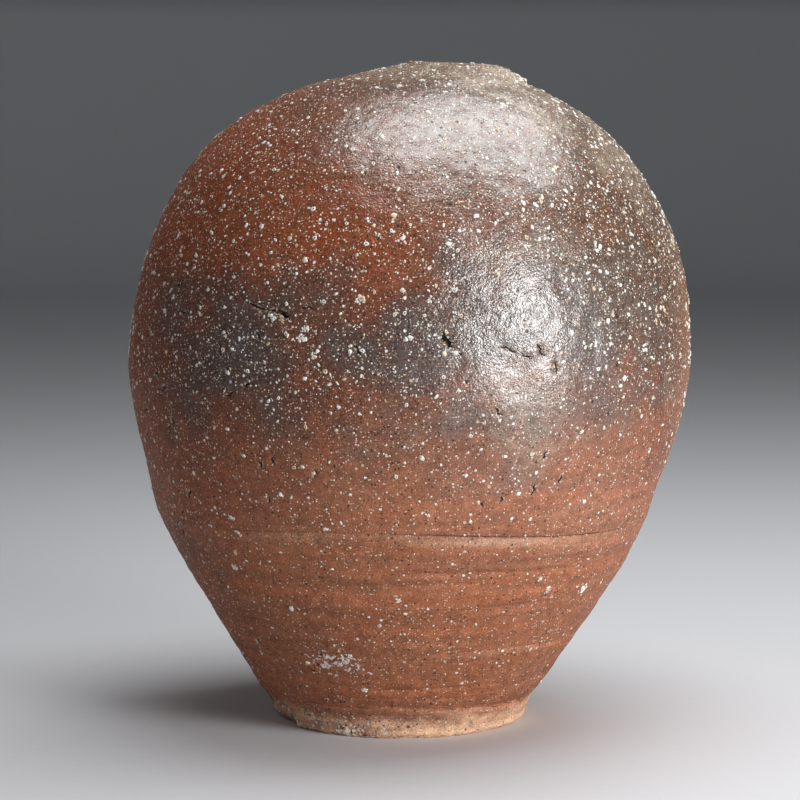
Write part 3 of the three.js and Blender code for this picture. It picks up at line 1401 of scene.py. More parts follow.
@dataclass(frozen=True)
class ClayFinish:
    """Wood-fired stoneware: red clay with white grains, scorched and ashed in the kiln, with painted sheen,
    highlight and shade in its colour.

    Sizes, reaches, heights and depths are in metres, apart from the splits' stray and half width, which are
    in millimetres. What ends in share is how much of a colour shows at most.
    """

    rust: tuple = srgb(133, 62, 24)
    terracotta: tuple = srgb(152, 96, 68)
    ember: tuple = srgb(184, 104, 66)
    umber: tuple = srgb(84, 54, 39)
    char: tuple = srgb(79, 74, 71)
    ash_brown: tuple = srgb(78, 65, 52)
    pale_ash_and_sheen: tuple = srgb(200, 184, 160)
    tan: tuple = srgb(232, 190, 156)
    white: tuple = srgb(242, 239, 232)
    cream: tuple = srgb(226, 204, 178)
    spark: tuple = srgb(206, 150, 112)
    dark_specks_and_shade: tuple = srgb(46, 33, 27)
    # Near-black drawn in open cracks, the crease and pits: painted shade inside them.
    hollow: tuple = srgb(24, 17, 14)
    # Pepper and flaw specks: partly the clay's dark grit, partly painted shade beside grains and in small
    # pits.
    pepper: Specks = Specks(0.0019, 0.18, 0.48, 0.26, 0.82)
    salt: Specks = Specks(0.0014, 0.20, 0.44, 0.48, 0.90)
    grain: Specks = Specks(0.0034, 0.14, 0.36, 0.16, 0.42)
    pit: Specks = Specks(0.0060, 0.05, 0.13, 0.25, 0.55)
    flaw: Specks = Specks(0.0048, 0.08, 0.30, 0.55, 0.55)
    grime: Specks = Specks(0.0028, 0.25, 0.55)
    mottle_size: float = 0.0065
    fray_size: float = 0.0014
    fray_reach: float = 0.0007
    cloud_size: float = 0.030
    streak_size: float = 0.02
    streak_form: tuple = (0.25, 0.25, 4.0)
    stroke_size: float = 0.03
    stroke_form: tuple = (0.16, 0.16, 5.0)
    wisp_size: float = 0.012
    grit_size: float = 0.0010
    patch_size: float = 0.008
    crumb_size: float = 0.0023
    split_size: float = 0.0024
    split_stray: float = 2.6
    split_half_width: float = 0.52
    flake_size: float = 0.0017
    lump_size: float = 0.0034
    cell_size: float = 0.0012
    swell_size: float = 0.011
    dark_specks_and_shade_share: float = 0.84
    crumb_share: float = 0.85
    flake_share: float = 0.75
    pit_share: float = 0.8
    ash_share: float = 0.92
    char_share: float = 0.88
    ior: float = 1.5
    specular_level: float = 0.30
    coat_roughness: float = 0.23
    coat_ior: float = 2.1
    flaw_dulls: float = 0.85
    pepper_dulls: float = 0.55
    lump_height: float = 0.00033
    cell_depth: float = 0.00019
    salt_height: float = 0.00006
    grain_height: float = 0.00026
    flake_height: float = 0.00030
    open_depth: float = 0.0007

    def material(self) -> bpy.types.Material:
        """Builds the finish from its zones, clouds and specks.

        Returns:
            The material.
        """
        n = Nodes("wood_fired_clay")
        mottle = n.noise(self.mottle_size, 3.0)
        ragged = n.ragged(self.fray_size, self.fray_reach)
        cool = n.times(n.less(1.0, n.zone("warm")), LIVELY_COOL)
        lively = n.most(n.zone("ash"), cool, n.times(n.zone("scorch"), LIVELY_SCORCH))
        (pepper, _), (salt, salt_tint), (grain, grain_tint), (pit, _), (flaw, _) = [
            n.specks(layer, n.ramp(lively, 0.0, 1.0, layer.calm, layer.lively), ragged)
            for layer in (self.pepper, self.salt, self.grain, self.pit, self.flaw)
        ]
        flaw = n.times(flaw, n.ramp(n.zone("gloss"), 0.15, 0.5))
        crumb, grime = self._deposits(n, ragged)
        gap, flakes = self._splits(n)
        # Open cracks and pits, drawn near-black below: painted shade inside them.
        opened = n.most(gap, n.times(pit, self.pit_share))
        salt_colour = n.mix(n.ramp(salt_tint, 0.25, 0.55), self.spark, self.cream)
        salt_colour = n.mix(n.ramp(salt_tint, 0.78, 0.90), salt_colour, self.white)
        colour = self._ground(n, mottle, lively)
        # Grime is dirt on the chalk; pepper and flaws also paint the shade beside grains and in small pits.
        for share, over in (
            (n.times(n.most(pepper, grime, flaw), self.dark_specks_and_shade_share), self.dark_specks_and_shade),
            (n.times(salt, n.ramp(salt_tint, 0.0, 0.9, 0.42, 0.95)), salt_colour),
            (
                n.times(grain, n.ramp(grain_tint, 0.0, 0.6, 0.55, 0.95)),
                n.mix(n.ramp(grain_tint, 0.4, 0.7), self.cream, self.white),
            ),
            (n.times(crumb, self.crumb_share), self.white),
            (n.times(flakes, self.flake_share), self.cream),
            (opened, self.hollow),
        ):
            colour = n.mix(share, colour, over)
        lumps = n.times(n.noise(self.lump_size, 5.0, None, 0.60), self.lump_height)
        lumps = n.scaled(n.cells(self.cell_size, ragged)[0], -self.cell_depth, lumps)
        lumps = n.times(lumps, n.ramp(n.noise(self.swell_size), 0.35, 0.65, 0.7, 1.3))
        height = n.times(lumps, n.ramp(n.zone("ash"), 0.45, 0.95, 1.0, 0.65))
        for cover, rise in (
            (salt, self.salt_height),
            (n.most(grain, crumb), self.grain_height),
            (flakes, self.flake_height),
            (opened, -self.open_depth),
        ):
            height = n.scaled(cover, rise, height)
        shine = n.times(n.zone("gloss"), n.ramp(mottle, 0.30, 0.62, 0.65, 1.0))
        lost = n.most(opened, n.times(flaw, self.flaw_dulls), n.times(pepper, self.pepper_dulls))
        normal = n.bump(height)
        return n.surface({
            "Base Color": colour,
            "Roughness": n.ramp(shine, 0.0, 0.6, 0.66, 0.46),
            "Coat Weight": n.times(shine, n.less(1.0, lost)),
            "Normal": normal,
            "Coat Normal": normal,
            "IOR": self.ior,
            "Specular IOR Level": self.specular_level,
            "Coat Roughness": self.coat_roughness,
            "Coat IOR": self.coat_ior,
        })

    def _deposits(self, n: Nodes, ragged: object) -> tuple[Socket, Socket]:
        """What stuck to the clay where it is chalky.

        Args:
            n: The material that it goes into.
            ragged: Where specks are read.

        Returns:
            The white crumbs and the specks of grime between them, each from 0 to 1.
        """
        patchy = n.ramp(n.noise(self.patch_size), 0.40, 0.52)
        clumps = n.times(n.zone("chalk"), n.scaled(patchy, 0.80, 0.20))
        bare = n.scaled(clumps, -0.25, 0.74)
        crumb = n.ramp(n.less(n.noise(self.crumb_size, 4.0), bare), 0.0, 0.05)
        dirty = n.times(n.ramp(n.zone("chalk"), 0.35, 0.9, 0.0, 0.6), patchy)
        return crumb, n.specks(self.grime, dirty, ragged)[0]

    def _splits(self, n: Nodes) -> tuple[Socket, Socket]:
        """Where the clay is split, drawn finer than its mesh.

        Args:
            n: The material that it goes into.

        Returns:
            The open gap, painted dark as shade, and the pale flakes along its edges, each from 0 to 1.
        """
        stray = n.times(n.math("MINIMUM", n.zone("gape"), 1.0), self.split_stray)
        stray = n.times(n.less(n.noise(self.split_size, 3.0), 0.5), stray)
        aside = n.math("ABSOLUTE", n.math("ADD", stray, n.zone("aside")))
        half_width = n.scaled(n.zone("gape"), self.split_half_width, n.NO_RADIUS)
        gap = n.ramp(n.math("DIVIDE", aside, half_width), 1.15, 0.75)
        crumbling = n.times(n.ramp(aside, 2.6, 0.8), n.zone("gape"))
        return gap, n.times(crumbling, n.ramp(n.noise(self.flake_size), 0.52, 0.60))

    def _ground(self, n: Nodes, mottle: object, lively: object) -> Socket:
        """The clay's own colour under the specks.

        Args:
            n: The material that it goes into.
            mottle: Noise the size of a fingertip.
            lively: How much the fire brought out of the clay, from 0 to 1.

        Returns:
            The colour.
        """
        streak = n.noise(self.streak_size, 3.0, n.stretched(self.streak_form))
        stroke = n.noise(self.stroke_size, 4.0, n.stretched(self.stroke_form))
        wisp = n.noise(self.wisp_size, 5.0, None, 0.6)
        ash = n.times(n.zone("ash"), n.ramp(mottle, 0.25, 0.6, 0.55, 1.0))
        scorch = n.times(n.zone("scorch"), n.ramp(mottle, 0.2, 0.65, 0.60, 1.0))
        cloud = n.less(n.noise(self.cloud_size, 3.0), 0.5)
        warm = n.scaled(cloud, 0.7, n.zone("warm"))
        colour = n.mix(warm, self.rust, self.terracotta)
        for share, over in (
            (n.times(n.zone("warm"), n.ramp(stroke, 0.48, 0.70, 0.0, 0.42)), self.ember),
            (n.times(ash, self.ash_share), self.ash_brown),
            # Umber and char follow the scorched zone, which also holds painted shade low on the left.
            (n.ramp(n.zone("scorch"), 0.0, 0.60, 0.0, 0.62), self.umber),
            (n.times(scorch, self.char_share), self.char),
            # Pale ash over the clay, partly real ash and partly painted sheen.
            (n.times(n.zone("ash_and_sheen"), n.ramp(wisp, 0.35, 0.65, 0.30, 0.75)), self.pale_ash_and_sheen),
            (n.times(n.zone("pale"), n.ramp(streak, 0.3, 0.6, 0.55, 0.95)), self.tan),
        ):
            colour = n.mix(share, colour, over)
        wiped = n.times(n.zone("warm"), n.ramp(streak, 0.30, 0.70, -0.12, 0.12))
        clouded = n.math("ADD", n.ramp(mottle, 0.25, 0.75, 0.82, 1.16), wiped)
        dark = n.ramp(lively, 0.0, 0.7, 0.75, 0.55)
        light = n.ramp(lively, 0.0, 0.7, 1.29, 1.47)
        gritty = n.ramp(n.noise(self.grit_size), 0.28, 0.72, dark, light)
        return n.mix(1.0, n.mix(1.0, colour, clouded, "MULTIPLY"), gritty, "MULTIPLY")


@dataclass(frozen=True)
class GrainFinish:
    """White feldspar that the fire half melted out of the clay."""

    white: tuple = srgb(242, 240, 232)
    grey: tuple = srgb(164, 156, 146)
    cream: tuple = srgb(218, 190, 152)
    hollow: tuple = srgb(22, 17, 15)
    tint_size: float = 0.007
    cloud_size: float = 0.0012
    gloss_size: float = 0.002
    lump_size: float = 0.0009
    lump_height: float = 0.0002

    def material(self) -> bpy.types.Material:
        """Builds the finish, clouded from grain to grain, with painted shade darkening the pit in the burst
        ones.

        Returns:
            The material.
        """
        n = Nodes("feldspar")
        colour = n.mix(n.ramp(n.noise(self.tint_size, 1.0), 0.52, 0.68), self.white, self.cream)
        colour = n.mix(n.ramp(n.noise(self.cloud_size), 0.48, 0.72), colour, self.grey)
        # The burst grains' pits are drawn near-black: painted shade.
        colour = n.mix(n.ramp(n.zone("heart"), 0.45, 0.75), colour, self.hollow)
        return n.surface({
            "Base Color": colour,
            "Roughness": n.ramp(n.noise(self.gloss_size), 0.3, 0.7, 0.28, 0.6),
            "Normal": n.bump(n.times(n.noise(self.lump_size), self.lump_height)),
        })


@dataclass(frozen=True)
class FloorFinish:
    """Plain matt paper under and behind the jar."""

    grey: tuple = srgb(212, 213, 216)
    light: tuple = srgb(218, 219, 222)
    tooth_size: float = 0.004
    roughness: float = 0.9

    def material(self) -> bpy.types.Material:
        """Builds the finish, with a trace of tooth.

        Returns:
            The material.
        """
        n = Nodes("studio_paper")
        colour = n.mix(n.noise(self.tooth_size, 3.0), self.grey, self.light)
        return n.surface({"Base Color": colour, "Roughness": self.roughness})


@dataclass
class Turning:
    """Turns profiles into rings of clay and dresses them.

    Attributes:
        wall: The jar's wall.
        clay: Its clay.
        finish: What the rings are made of.
        spin_steps: How many times the profile is set round the axis.
        ring_cuts: How many times it is set again between two of these.
        off_joint: How far above its lowest joint a ring starts to read what is drawn on the wall.
    """

    wall: JarWall
    clay: Clay
    finish: bpy.types.Material
    spin_steps: int = 60
    ring_cuts: int = 14
    off_joint: float = 1e-5

    def ring(self, name: str, profile: Profile) -> None:
        """Makes one ring, riding on the jar's body.

        Args:
            name: The solid that it stands for, and its own name with a suffix.
            profile: Its closed outline.
        """
        mesh = self._turned(name, profile)
        self._shape(mesh, profile)
        piece = linked(f"{name}_clay", mesh)
        mesh.materials.append(self.finish)
        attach(piece, ROOT_BODY)
        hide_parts(name)
        LOG.info("%s: %d faces", piece.name, len(mesh.polygons))

    def _turned(self, name: str, profile: Profile) -> bpy.types.Mesh:
        """The plain round ring, each vertex knowing its row of the profile.

        Args:
            name: The solid that it stands for.
            profile: Its closed outline.

        Returns:
            Its mesh, with sharp edges where one side of the wall meets another in sight.
        """
        bm = bmesh.new()
        row = bm.verts.layers.int.new("row")
        verts = []
        for index, (radius, height) in enumerate(profile.base):
            vert = bm.verts.new((0.0, -radius, height))
            vert[row] = index
            verts.append(vert)
        edges = [bm.edges.new(pair) for pair in zip(verts, verts[1:])]
        on_axis = profile.base[0, 0] < MERGE
        if not on_axis:
            edges.append(bm.edges.new((verts[-1], verts[0])))
        turned(bm, verts, edges, self.spin_steps)
        rings = [e for e in bm.edges if e.verts[0][row] == e.verts[1][row] and e.calc_length() > MERGE]
        bmesh.ops.subdivide_edges(bm, edges=rings, cuts=self.ring_cuts, use_grid_fill=True)
        if on_axis:
            bmesh.ops.remove_doubles(bm, verts=bm.verts, dist=MERGE)
        bmesh.ops.recalc_face_normals(bm, faces=bm.faces)
        corner = [a != b for a, b in zip(profile.face, profile.face[1:] + profile.face[:1])]
        sharp = {i for i, c in enumerate(corner) if c} | {i for i in range(len(corner)) if corner[i - 1]}
        edge_rows = {i for i in sharp if profile.face[i] is not Face.HIDDEN}
        for face in bm.faces:
            face.smooth = True
        for edge in bm.edges:
            low, high = edge.verts[0][row], edge.verts[1][row]
            if low == high and low in edge_rows:
                edge.smooth = False
        mesh = bpy.data.meshes.new(f"{name}_clay")
        bm.to_mesh(mesh)
        bm.free()
        return mesh

    def _shape(self, mesh: bpy.types.Mesh, profile: Profile) -> None:
        """Gives the plain ring its relief and lean, and notes the clay's zones on it.

        Args:
            mesh: The plain ring.
            profile: Its closed outline.
        """
        count = len(mesh.vertices)
        flat = np.empty(count * 3)
        mesh.vertices.foreach_get("co", flat)
        plain = flat.reshape(-1, 3)
        row = np.empty(count, dtype=np.int32)
        mesh.attributes["row"].data.foreach_get("value", row)
        angle = np.arctan2(plain[:, 0], -plain[:, 1])
        distance = profile.distance[row]
        outer = profile.outer[row]
        inner = profile.inner[row]
        spots = self.clay.laid(profile.base[row], angle, distance, outer + inner > 0)
        spots.distance = np.clip(distance, distance.min() + self.off_joint, distance.max())
        rise = outer * self.clay.outer_relief(spots) + inner * self.clay.inner_relief(spots.upright)
        spots.upright += around(angle, profile.push[row] * rise[:, None])
        spots.upright[:, 2] = np.maximum(spots.upright[:, 2], 0.0)
        spots.settled = self.wall.settled(spots.upright, distance)
        mesh.vertices.foreach_set("co", spots.settled.ravel())
        outside = np.array([f is Face.OUTSIDE for f in profile.face])[row]
        standing = np.array([f is Face.STANDING for f in profile.face])[row]
        for zone, found in self.clay.zones(spots).items():
            unseen = np.where(standing, SOLE.get(zone, 0.0), BARE.get(zone, 0.0))
            values = np.where(outside, found, unseen)
            mesh.attributes.new(zone, "FLOAT", "POINT").data.foreach_set("value", values.astype(np.float32))
        mesh.attributes.remove(mesh.attributes["row"])
        mesh.update()


@dataclass
class FootSlab:
    """The slab that the jar was raised on: its floor and foot."""

    wall: JarWall
    rows: float = 1.1 * MM
    edge_rows: int = 4
    floor_rows: int = 24
    floor_relief: float = 0.35
    sole_ease: int = 6

    def profile(self) -> Profile:
        """Its outline, from the middle of the standing face out, up and back along the floor.

        Returns:
            The outline.
        """
        s = self.wall.shape
        edge_radius = s.foot_radius - s.slab_undercut
        sole_radii = np.linspace(0, edge_radius, self.floor_rows)
        sole = np.stack([sole_radii, np.zeros(self.floor_rows)], axis=1)
        foot = (s.foot_radius, s.slab_undercut)
        turn = (s.foot_radius, s.slab_thickness * s.flare_start)
        top = (s.slab_top_radius, s.slab_thickness + s.slip)
        chamfer = np.linspace((edge_radius, 0), foot, self.edge_rows)
        flare = bezier(foot, turn, top, round(s.slab_thickness / self.rows))
        edge = np.concatenate([chamfer, flare[1:]])
        edge_run = walked(edge)
        lip_end = (s.slab_top_radius - s.wall / 4, s.slab_thickness)
        lip = np.linspace(top, lip_end, self.edge_rows)[1:]
        floor_radii = np.linspace(s.slab_top_radius - s.wall / 3, 0, self.floor_rows)
        floor = np.stack([floor_radii, np.full(self.floor_rows, s.slab_thickness)], axis=1)
        at_slab = np.zeros(self.floor_rows)
        edge_part = Profile.along(edge, edge_run - edge_run[-1], 1.0, 0.0, Face.OUTSIDE)
        edge_part.push[-1] = -self.wall.inward(np.zeros(1))[0]
        edge_part.push[0] = (1.0, 0.0)
        sole_part = Profile.along(sole, at_slab - edge_run[-1], 0.0, 0.0, Face.STANDING)
        sole_part.push[:] = (1.0, 0.0)
        sole_part.outer[:] = (sole_radii / edge_radius) ** self.sole_ease
        return Profile.joined([
            sole_part,
            edge_part,
            Profile.along(lip, np.zeros(len(lip)), 0.0, 0.0, Face.HIDDEN),
            Profile.along(floor, at_slab, 0.0, self.floor_relief, Face.INSIDE),
        ])

    def build(self, turning: Turning) -> None:
        """Makes the slab."""
        turning.ring("base_slab", self.profile())


class Tier(Enum):
    """The tiers of coils from the foot up, each with its whole and burst grains and their seed."""

    LOWER = (650, 14, 31)
    BELLY = (1450, 90, 32)
    SHOULDER = (3700, 360, 33)
    CROWN = (2700, 170, 34)


@dataclass
class CoilTier:
    """One tier of coils, which stiffened before the next was set on it."""

    wall: JarWall
    name: str
    start: float
    end: float
    outer_rows: float = 1.1 * MM
    inner_rows: float = 5 * MM
    joint_rows: int = 4
    near_joint: tuple = (0.0, 0.4, 0.8, 1.3, 2.0, 2.9)

    def profile(self, low: float, high: float) -> Profile:
        """One coil's outline: up the outside, across the scarf, down the inside and back.

        Args:
            low: Where it starts along the wall.
            high: Where it ends.

        Returns:
            The closed outline.
        """
        s = self.wall.shape
        on_slab = low <= 0
        near = np.array(self.near_joint) * MM
        middle = np.linspace(low + near[-1], high - near[-1], round((high - low) / self.outer_rows))
        outer = np.concatenate([low + near[:-1], middle, high - near[-2::-1]])
        depth = np.linspace(0, 1, self.joint_rows + 1)
        top = high - (s.scarf + s.slip / 2) * depth
        bottom = low - (s.scarf - s.slip / 2) * depth
        inner_low = 0.0 if on_slab else bottom[-1]
        inner = np.linspace(top[-1], inner_low, round((top[-1] - inner_low) / self.inner_rows) + 1)
        parts = [
            Profile.through_wall(self.wall, outer, np.zeros(len(outer)), Face.OUTSIDE),
            Profile.through_wall(self.wall, top[1:-1], depth[1:-1], Face.HIDDEN),
            Profile.through_wall(self.wall, inner, np.ones(len(inner)), Face.INSIDE),
        ]
        if on_slab:
            outer_foot = self.wall.outside(np.zeros(1))[0]
            heel = outer_foot - np.array((s.coil_foot, 0.0))
            under = np.linspace(heel, outer_foot, self.joint_rows + 1)[:-1]
            parts.append(Profile.along(under, np.zeros(len(under)), 0.0, 0.0, Face.HIDDEN))
        else:
            parts.append(Profile.through_wall(self.wall, bottom[-2:0:-1], depth[-2:0:-1], Face.HIDDEN))
        return Profile.joined(parts)

    def build(self, turning: Turning) -> None:
        """Makes the tier's coils from the bottom up.

        Args:
            turning: What turns the rings.
        """
        ends = np.linspace(self.start, self.end, self.wall.shape.courses_per_tier + 1)
        for course, (low, high) in enumerate(zip(ends[:-1], ends[1:]), start=1):
            profile = self.profile(float(low), float(high))
            turning.ring(f"{self.name}_coil_{course}", profile)


@dataclass
class NeckStump:
    """What is left of the neck: a low ring that spreads into the crown, with a round rim, rubbed down."""

    wall: JarWall
    rows: float = 1.0 * MM
    crest_rows: int = 6
    ceiling_rows: int = 8
    joint_rows: int = 5
    crest_width: float = 3.0 * MM
    worn_rise: float = 0.73
    worn_run: float = 0.36
    throat_relief: float = 0.5
    ceiling_relief: float = 0.3
    grains: int = 420
    bursts: int = 14
    seed: int = 35

    def profile(self) -> Profile:
        """Its outline: up the rubbed slope, over the rim, down the throat, and back along the joint.

        Returns:
            The outline.
        """
        s = self.wall.shape
        end = self.wall.length
        root = self.wall.outside(np.array([end]))[0]
        inward = self.wall.inward(np.array([end]))[0]
        rim_inner = np.array((s.mouth_radius, s.rim_height - s.rim_round))
        top = np.array((s.mouth_radius + self.crest_width, s.rim_height))
        turn = (top[0] + self.worn_run * (root[0] - top[0]), root[1] + self.worn_rise * s.neck_rise)
        slope = bezier(root, turn, top, round((s.neck_spread + s.rim_thickness) / self.rows))
        sweep = np.linspace(math.pi / 2, 0, self.crest_rows)[1:]
        rounding = np.stack([np.sin(sweep) * self.crest_width, np.cos(sweep) * s.rim_round], axis=1)
        crest = np.array((s.mouth_radius, s.rim_height)) + rounding * (1, -1)
        under_start = root + inward * s.wall
        throat_end = np.array((s.mouth_radius, under_start[1]))
        throat = np.linspace(rim_inner, throat_end, round((rim_inner[1] - throat_end[1]) / self.rows))[1:]
        ceiling = np.linspace(throat_end, under_start, self.ceiling_rows)[1:-1]
        rim_at = end + s.neck_spread
        shown_at = np.concatenate([np.linspace(end, rim_at, len(slope)), np.full(len(crest), rim_at)])
        throat_at = np.full(len(throat), rim_at)
        ceiling_at = np.linspace(rim_at, end, self.ceiling_rows)[1:-1]
        rim = Profile.along(np.concatenate([slope, crest]), shown_at, 1.0, 0.0, Face.OUTSIDE)
        rim.push[0] = -inward
        depth = np.linspace(0, 1, self.joint_rows)
        joint = end - (s.scarf - s.slip / 2) * depth
        under = np.linspace(end, joint[-1], self.joint_rows)
        return Profile.joined([
            rim,
            Profile.along(throat, throat_at, 0.0, self.throat_relief, Face.INSIDE),
            Profile.along(ceiling, ceiling_at, 0.0, self.ceiling_relief, Face.INSIDE),
            Profile.through_wall(self.wall, under, np.ones(len(under)), Face.INSIDE),
            Profile.through_wall(self.wall, joint[-2:0:-1], depth[-2:0:-1], Face.HIDDEN),
        ])

    def build(self, turning: Turning) -> None:
        """Makes the stump."""
        turning.ring("neck_stump", self.profile())


@dataclass
class Skin:
    """A stretch of the jar's plain outside that grains sit on, in parallel lists.

    Attributes:
        base: Radius and height of each place.
        push: The direction out of the clay there.
        distance: Where along the wall it belongs.
    """

    base: np.ndarray
    push: np.ndarray
    distance: np.ndarray

    @staticmethod
    def of_wall(wall: JarWall, start: float, end: float, step: float = 1.0 * MM) -> "Skin":
        """The outside of the wall between two distances along it."""
        distance = np.linspace(start, end, round((end - start) / step))
        return Skin(wall.outside(distance), -wall.inward(distance), distance)

    @staticmethod
    def of_profile(profile: Profile) -> "Skin":
        """The outside of a profile."""
        shown = np.array([f is Face.OUTSIDE for f in profile.face])
        return Skin(profile.base[shown], profile.push[shown], profile.distance[shown])

    def scattered(self, count: int, rng: np.random.Generator) -> "Skin":
        """As many places on it, spread evenly along it by chance.

        Args:
            count: How many.
            rng: Chance.

        Returns:
            The places.
        """
        run = walked(self.base)
        at = rng.uniform(0.0, run[-1], count)
        read = [np.interp(at, run, row) for row in (*self.base.T, *self.push.T, self.distance)]
        return Skin(np.stack(read[0:2], axis=1), np.stack(read[2:4], axis=1), read[4])


@dataclass
class Grains:
    """The larger grains of feldspar that stand out of one stretch of the jar's outside.

    Attributes:
        wall: The jar's wall.
        clay: The clay that they sit in.
        name: The piece's name.
        slot: Not used.
        skin: Where they sit.
        count: How many whole grains there may be.
        bursts: How many grains burst in the fire and left a pit.
        seed: What chance starts from.
        smallest: The smallest whole grain's radius.
        spread: How far the radii spread above that.
        largest: The largest whole grain's radius.
        burst_radius: The least and the largest radius of a burst grain.
        tries: How many places are tried for each grain.
        calm_share: The share of grains that show where the fire left the clay alone.
        batch: How many are made together, because adding to a large mesh is slow.

    The other fields form a whole grain, a burst one and the crumbs round a placed chip. They are shares of
    the radius, apart from burst_sides, crumbs, crumb_stray (in radians), and grain_large, the radius from
    which a grain gets a finer mesh.
    """

    wall: JarWall
    clay: Clay
    name: str
    slot: str
    skin: Skin
    count: int
    bursts: int
    seed: int
    smallest: float = 0.45 * MM
    spread: float = 0.55
    largest: float = 1.9 * MM
    burst_radius: tuple = (1.1 * MM, 2.0 * MM)
    tries: int = 3
    calm_share: float = 0.35
    batch: int = 60
    squeeze: tuple = (0.5, 1.0)
    grain_thick: tuple = (0.22, 0.42)
    grain_ragged: tuple = (0.6, 1.25)
    grain_large: float = 1.3 * MM
    burst_sides: int = 9
    burst_ragged: tuple = (0.78, 1.2)
    burst_sunk: float = 0.16
    burst_top: float = 0.70
    burst_height: float = 0.8
    burst_insets: tuple = ((0.32, 0.04), (0.08, -0.45))
    chip_heart: float = 0.62
    crumbs: int = 6
    crumb_stray: float = 0.4
    crumb_out: tuple = (0.5, 0.9)
    crumb_size: tuple = (0.32, 0.62)

    def build(self, finish: bpy.types.Material) -> None:
        """Scatters the grains, riding on the jar's body, and sinks each part of its depth into the clay.

        Args:
            finish: What they are made of.
        """
        rng = np.random.default_rng(self.seed)
        tries = (self.count + self.bursts) * self.tries
        chosen = self.skin.scattered(tries, rng)
        angle = rng.uniform(-math.pi, math.pi, tries)
        radius = np.minimum(self.smallest * np.exp(np.abs(rng.normal(0, self.spread, tries))), self.largest)
        spots, outward = self._on_clay(chosen, angle)
        zones = self.clay.zones(spots)
        lively = np.maximum(zones["ash"], LIVELY_COOL * (1 - zones["warm"]))
        lively = np.maximum(lively, LIVELY_SCORCH * zones["scorch"])
        wanted = chosen.base[:, 0] / self.skin.base[:, 0].max() * at_least(self.calm_share, lively)
        keep = np.flatnonzero(rng.uniform(size=tries) < wanted)[: self.count + self.bursts]
        burst = set(keep[: self.bursts])
        whole = bmesh.new()
        whole.verts.layers.float.new("heart")
        mesh = bpy.data.meshes.new(self.name)
        for batch in np.array_split(keep, max(1, len(keep) // self.batch)):
            bm = bmesh.new()
            bm.verts.layers.float.new("heart")
            for i in batch:
                place, out = Vector(spots.settled[i]), Vector(outward[i])
                if i in burst:
                    self._burst(bm, place, out, rng.uniform(*self.burst_radius), rng)
                else:
                    self._grain(bm, place, out, float(radius[i]), rng)
            bm.to_mesh(mesh)
            bm.free()
            whole.from_mesh(mesh)
        self._chips(whole, rng)
        for face in whole.faces:
            face.smooth = True
        whole.to_mesh(mesh)
        whole.free()
        mesh.materials.append(finish)
        piece = linked(self.name, mesh)
        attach(piece, ROOT_BODY)
        LOG.info("%s: %d grains", piece.name, len(keep))

    def _on_clay(self, skin: Skin, angle: np.ndarray) -> tuple[Spots, np.ndarray]:
        """Finds places on the finished outside.

        Args:
            skin: The places on the plain outside.
            angle: Their angles round from the front.

        Returns:
            The places, and which way is out at each.
        """
        spots = self.clay.laid(skin.base, angle, skin.distance, np.ones(len(angle)))
        outward = around(angle, skin.push)
        spots.upright += outward * self.clay.outer_relief(spots)[:, None]
        spots.settled = self.wall.settled(spots.upright, skin.distance)
        return spots, outward

    def _chips(self, bm: bmesh.types.BMesh, rng: np.random.Generator) -> None:
        """Adds the placed chips that lie on this stretch.

        Args:
            bm: Where they go.
            rng: Chance.
        """
        for chip in CHIPS:
            at = self.clay.distance_at(chip.height)
            if not self.skin.distance[0] <= at < self.skin.distance[-1]:
                continue
            spot = Skin.of_wall(self.wall, at, at + 1.0 * MM)
            spots, outward = self._on_clay(spot, np.array([math.radians(chip.angle)]))
            place, out = Vector(spots.settled[0]), Vector(outward[0])
            side = out.orthogonal().normalized()
            radius = chip.radius * MM
            self._burst(bm, place, out, self.chip_heart * radius, rng)
            for turn in np.linspace(0, 2 * math.pi, self.crumbs, endpoint=False):
                stray = rng.uniform(-self.crumb_stray, self.crumb_stray)
                aside = Matrix.Rotation(turn + stray, 3, out) @ side
                beside = place + aside * radius * rng.uniform(*self.crumb_out)
                self._grain(bm, beside, out, radius * rng.uniform(*self.crumb_size), rng)

    def _set_in(self, place: Vector, outward: Vector, thick: float, rng: np.random.Generator) -> Matrix:
        """Turns, squeezes and flattens a lump so that it lies in the clay at a place.

        Args:
            place: Where its middle lies.
            outward: Which way is out of the clay there.
            thick: Its thickness, as a share of its width.
            rng: Chance.

        Returns:
            What moves it there.
        """
        turn = outward.to_track_quat("Z", "X").to_matrix().to_4x4()
        spin = Matrix.Rotation(rng.uniform(0, 2 * math.pi), 4, "Z")
        squeeze = Matrix.Diagonal((1.0, rng.uniform(*self.squeeze), thick, 1.0))
        return Matrix.Translation(place) @ turn @ spin @ squeeze

    def _grain(
        self, bm: bmesh.types.BMesh, place: Vector, outward: Vector, radius: float, rng: np.random.Generator
    ) -> None:
        """Adds one whole grain, a ragged lump flattened along the wall's outward direction.

        Args:
            bm: Where it goes.
            place: Where its middle lies.
            outward: Which way is out of the clay there.
            radius: How large it is.
            rng: Chance.
        """
        matrix = self._set_in(place, outward, rng.uniform(*self.grain_thick), rng)
        level = 2 if radius > self.grain_large else 1
        made = bmesh.ops.create_icosphere(bm, subdivisions=level, radius=radius, matrix=matrix)
        for vert in made["verts"]:
            vert.co = place + (vert.co - place) * rng.uniform(*self.grain_ragged)

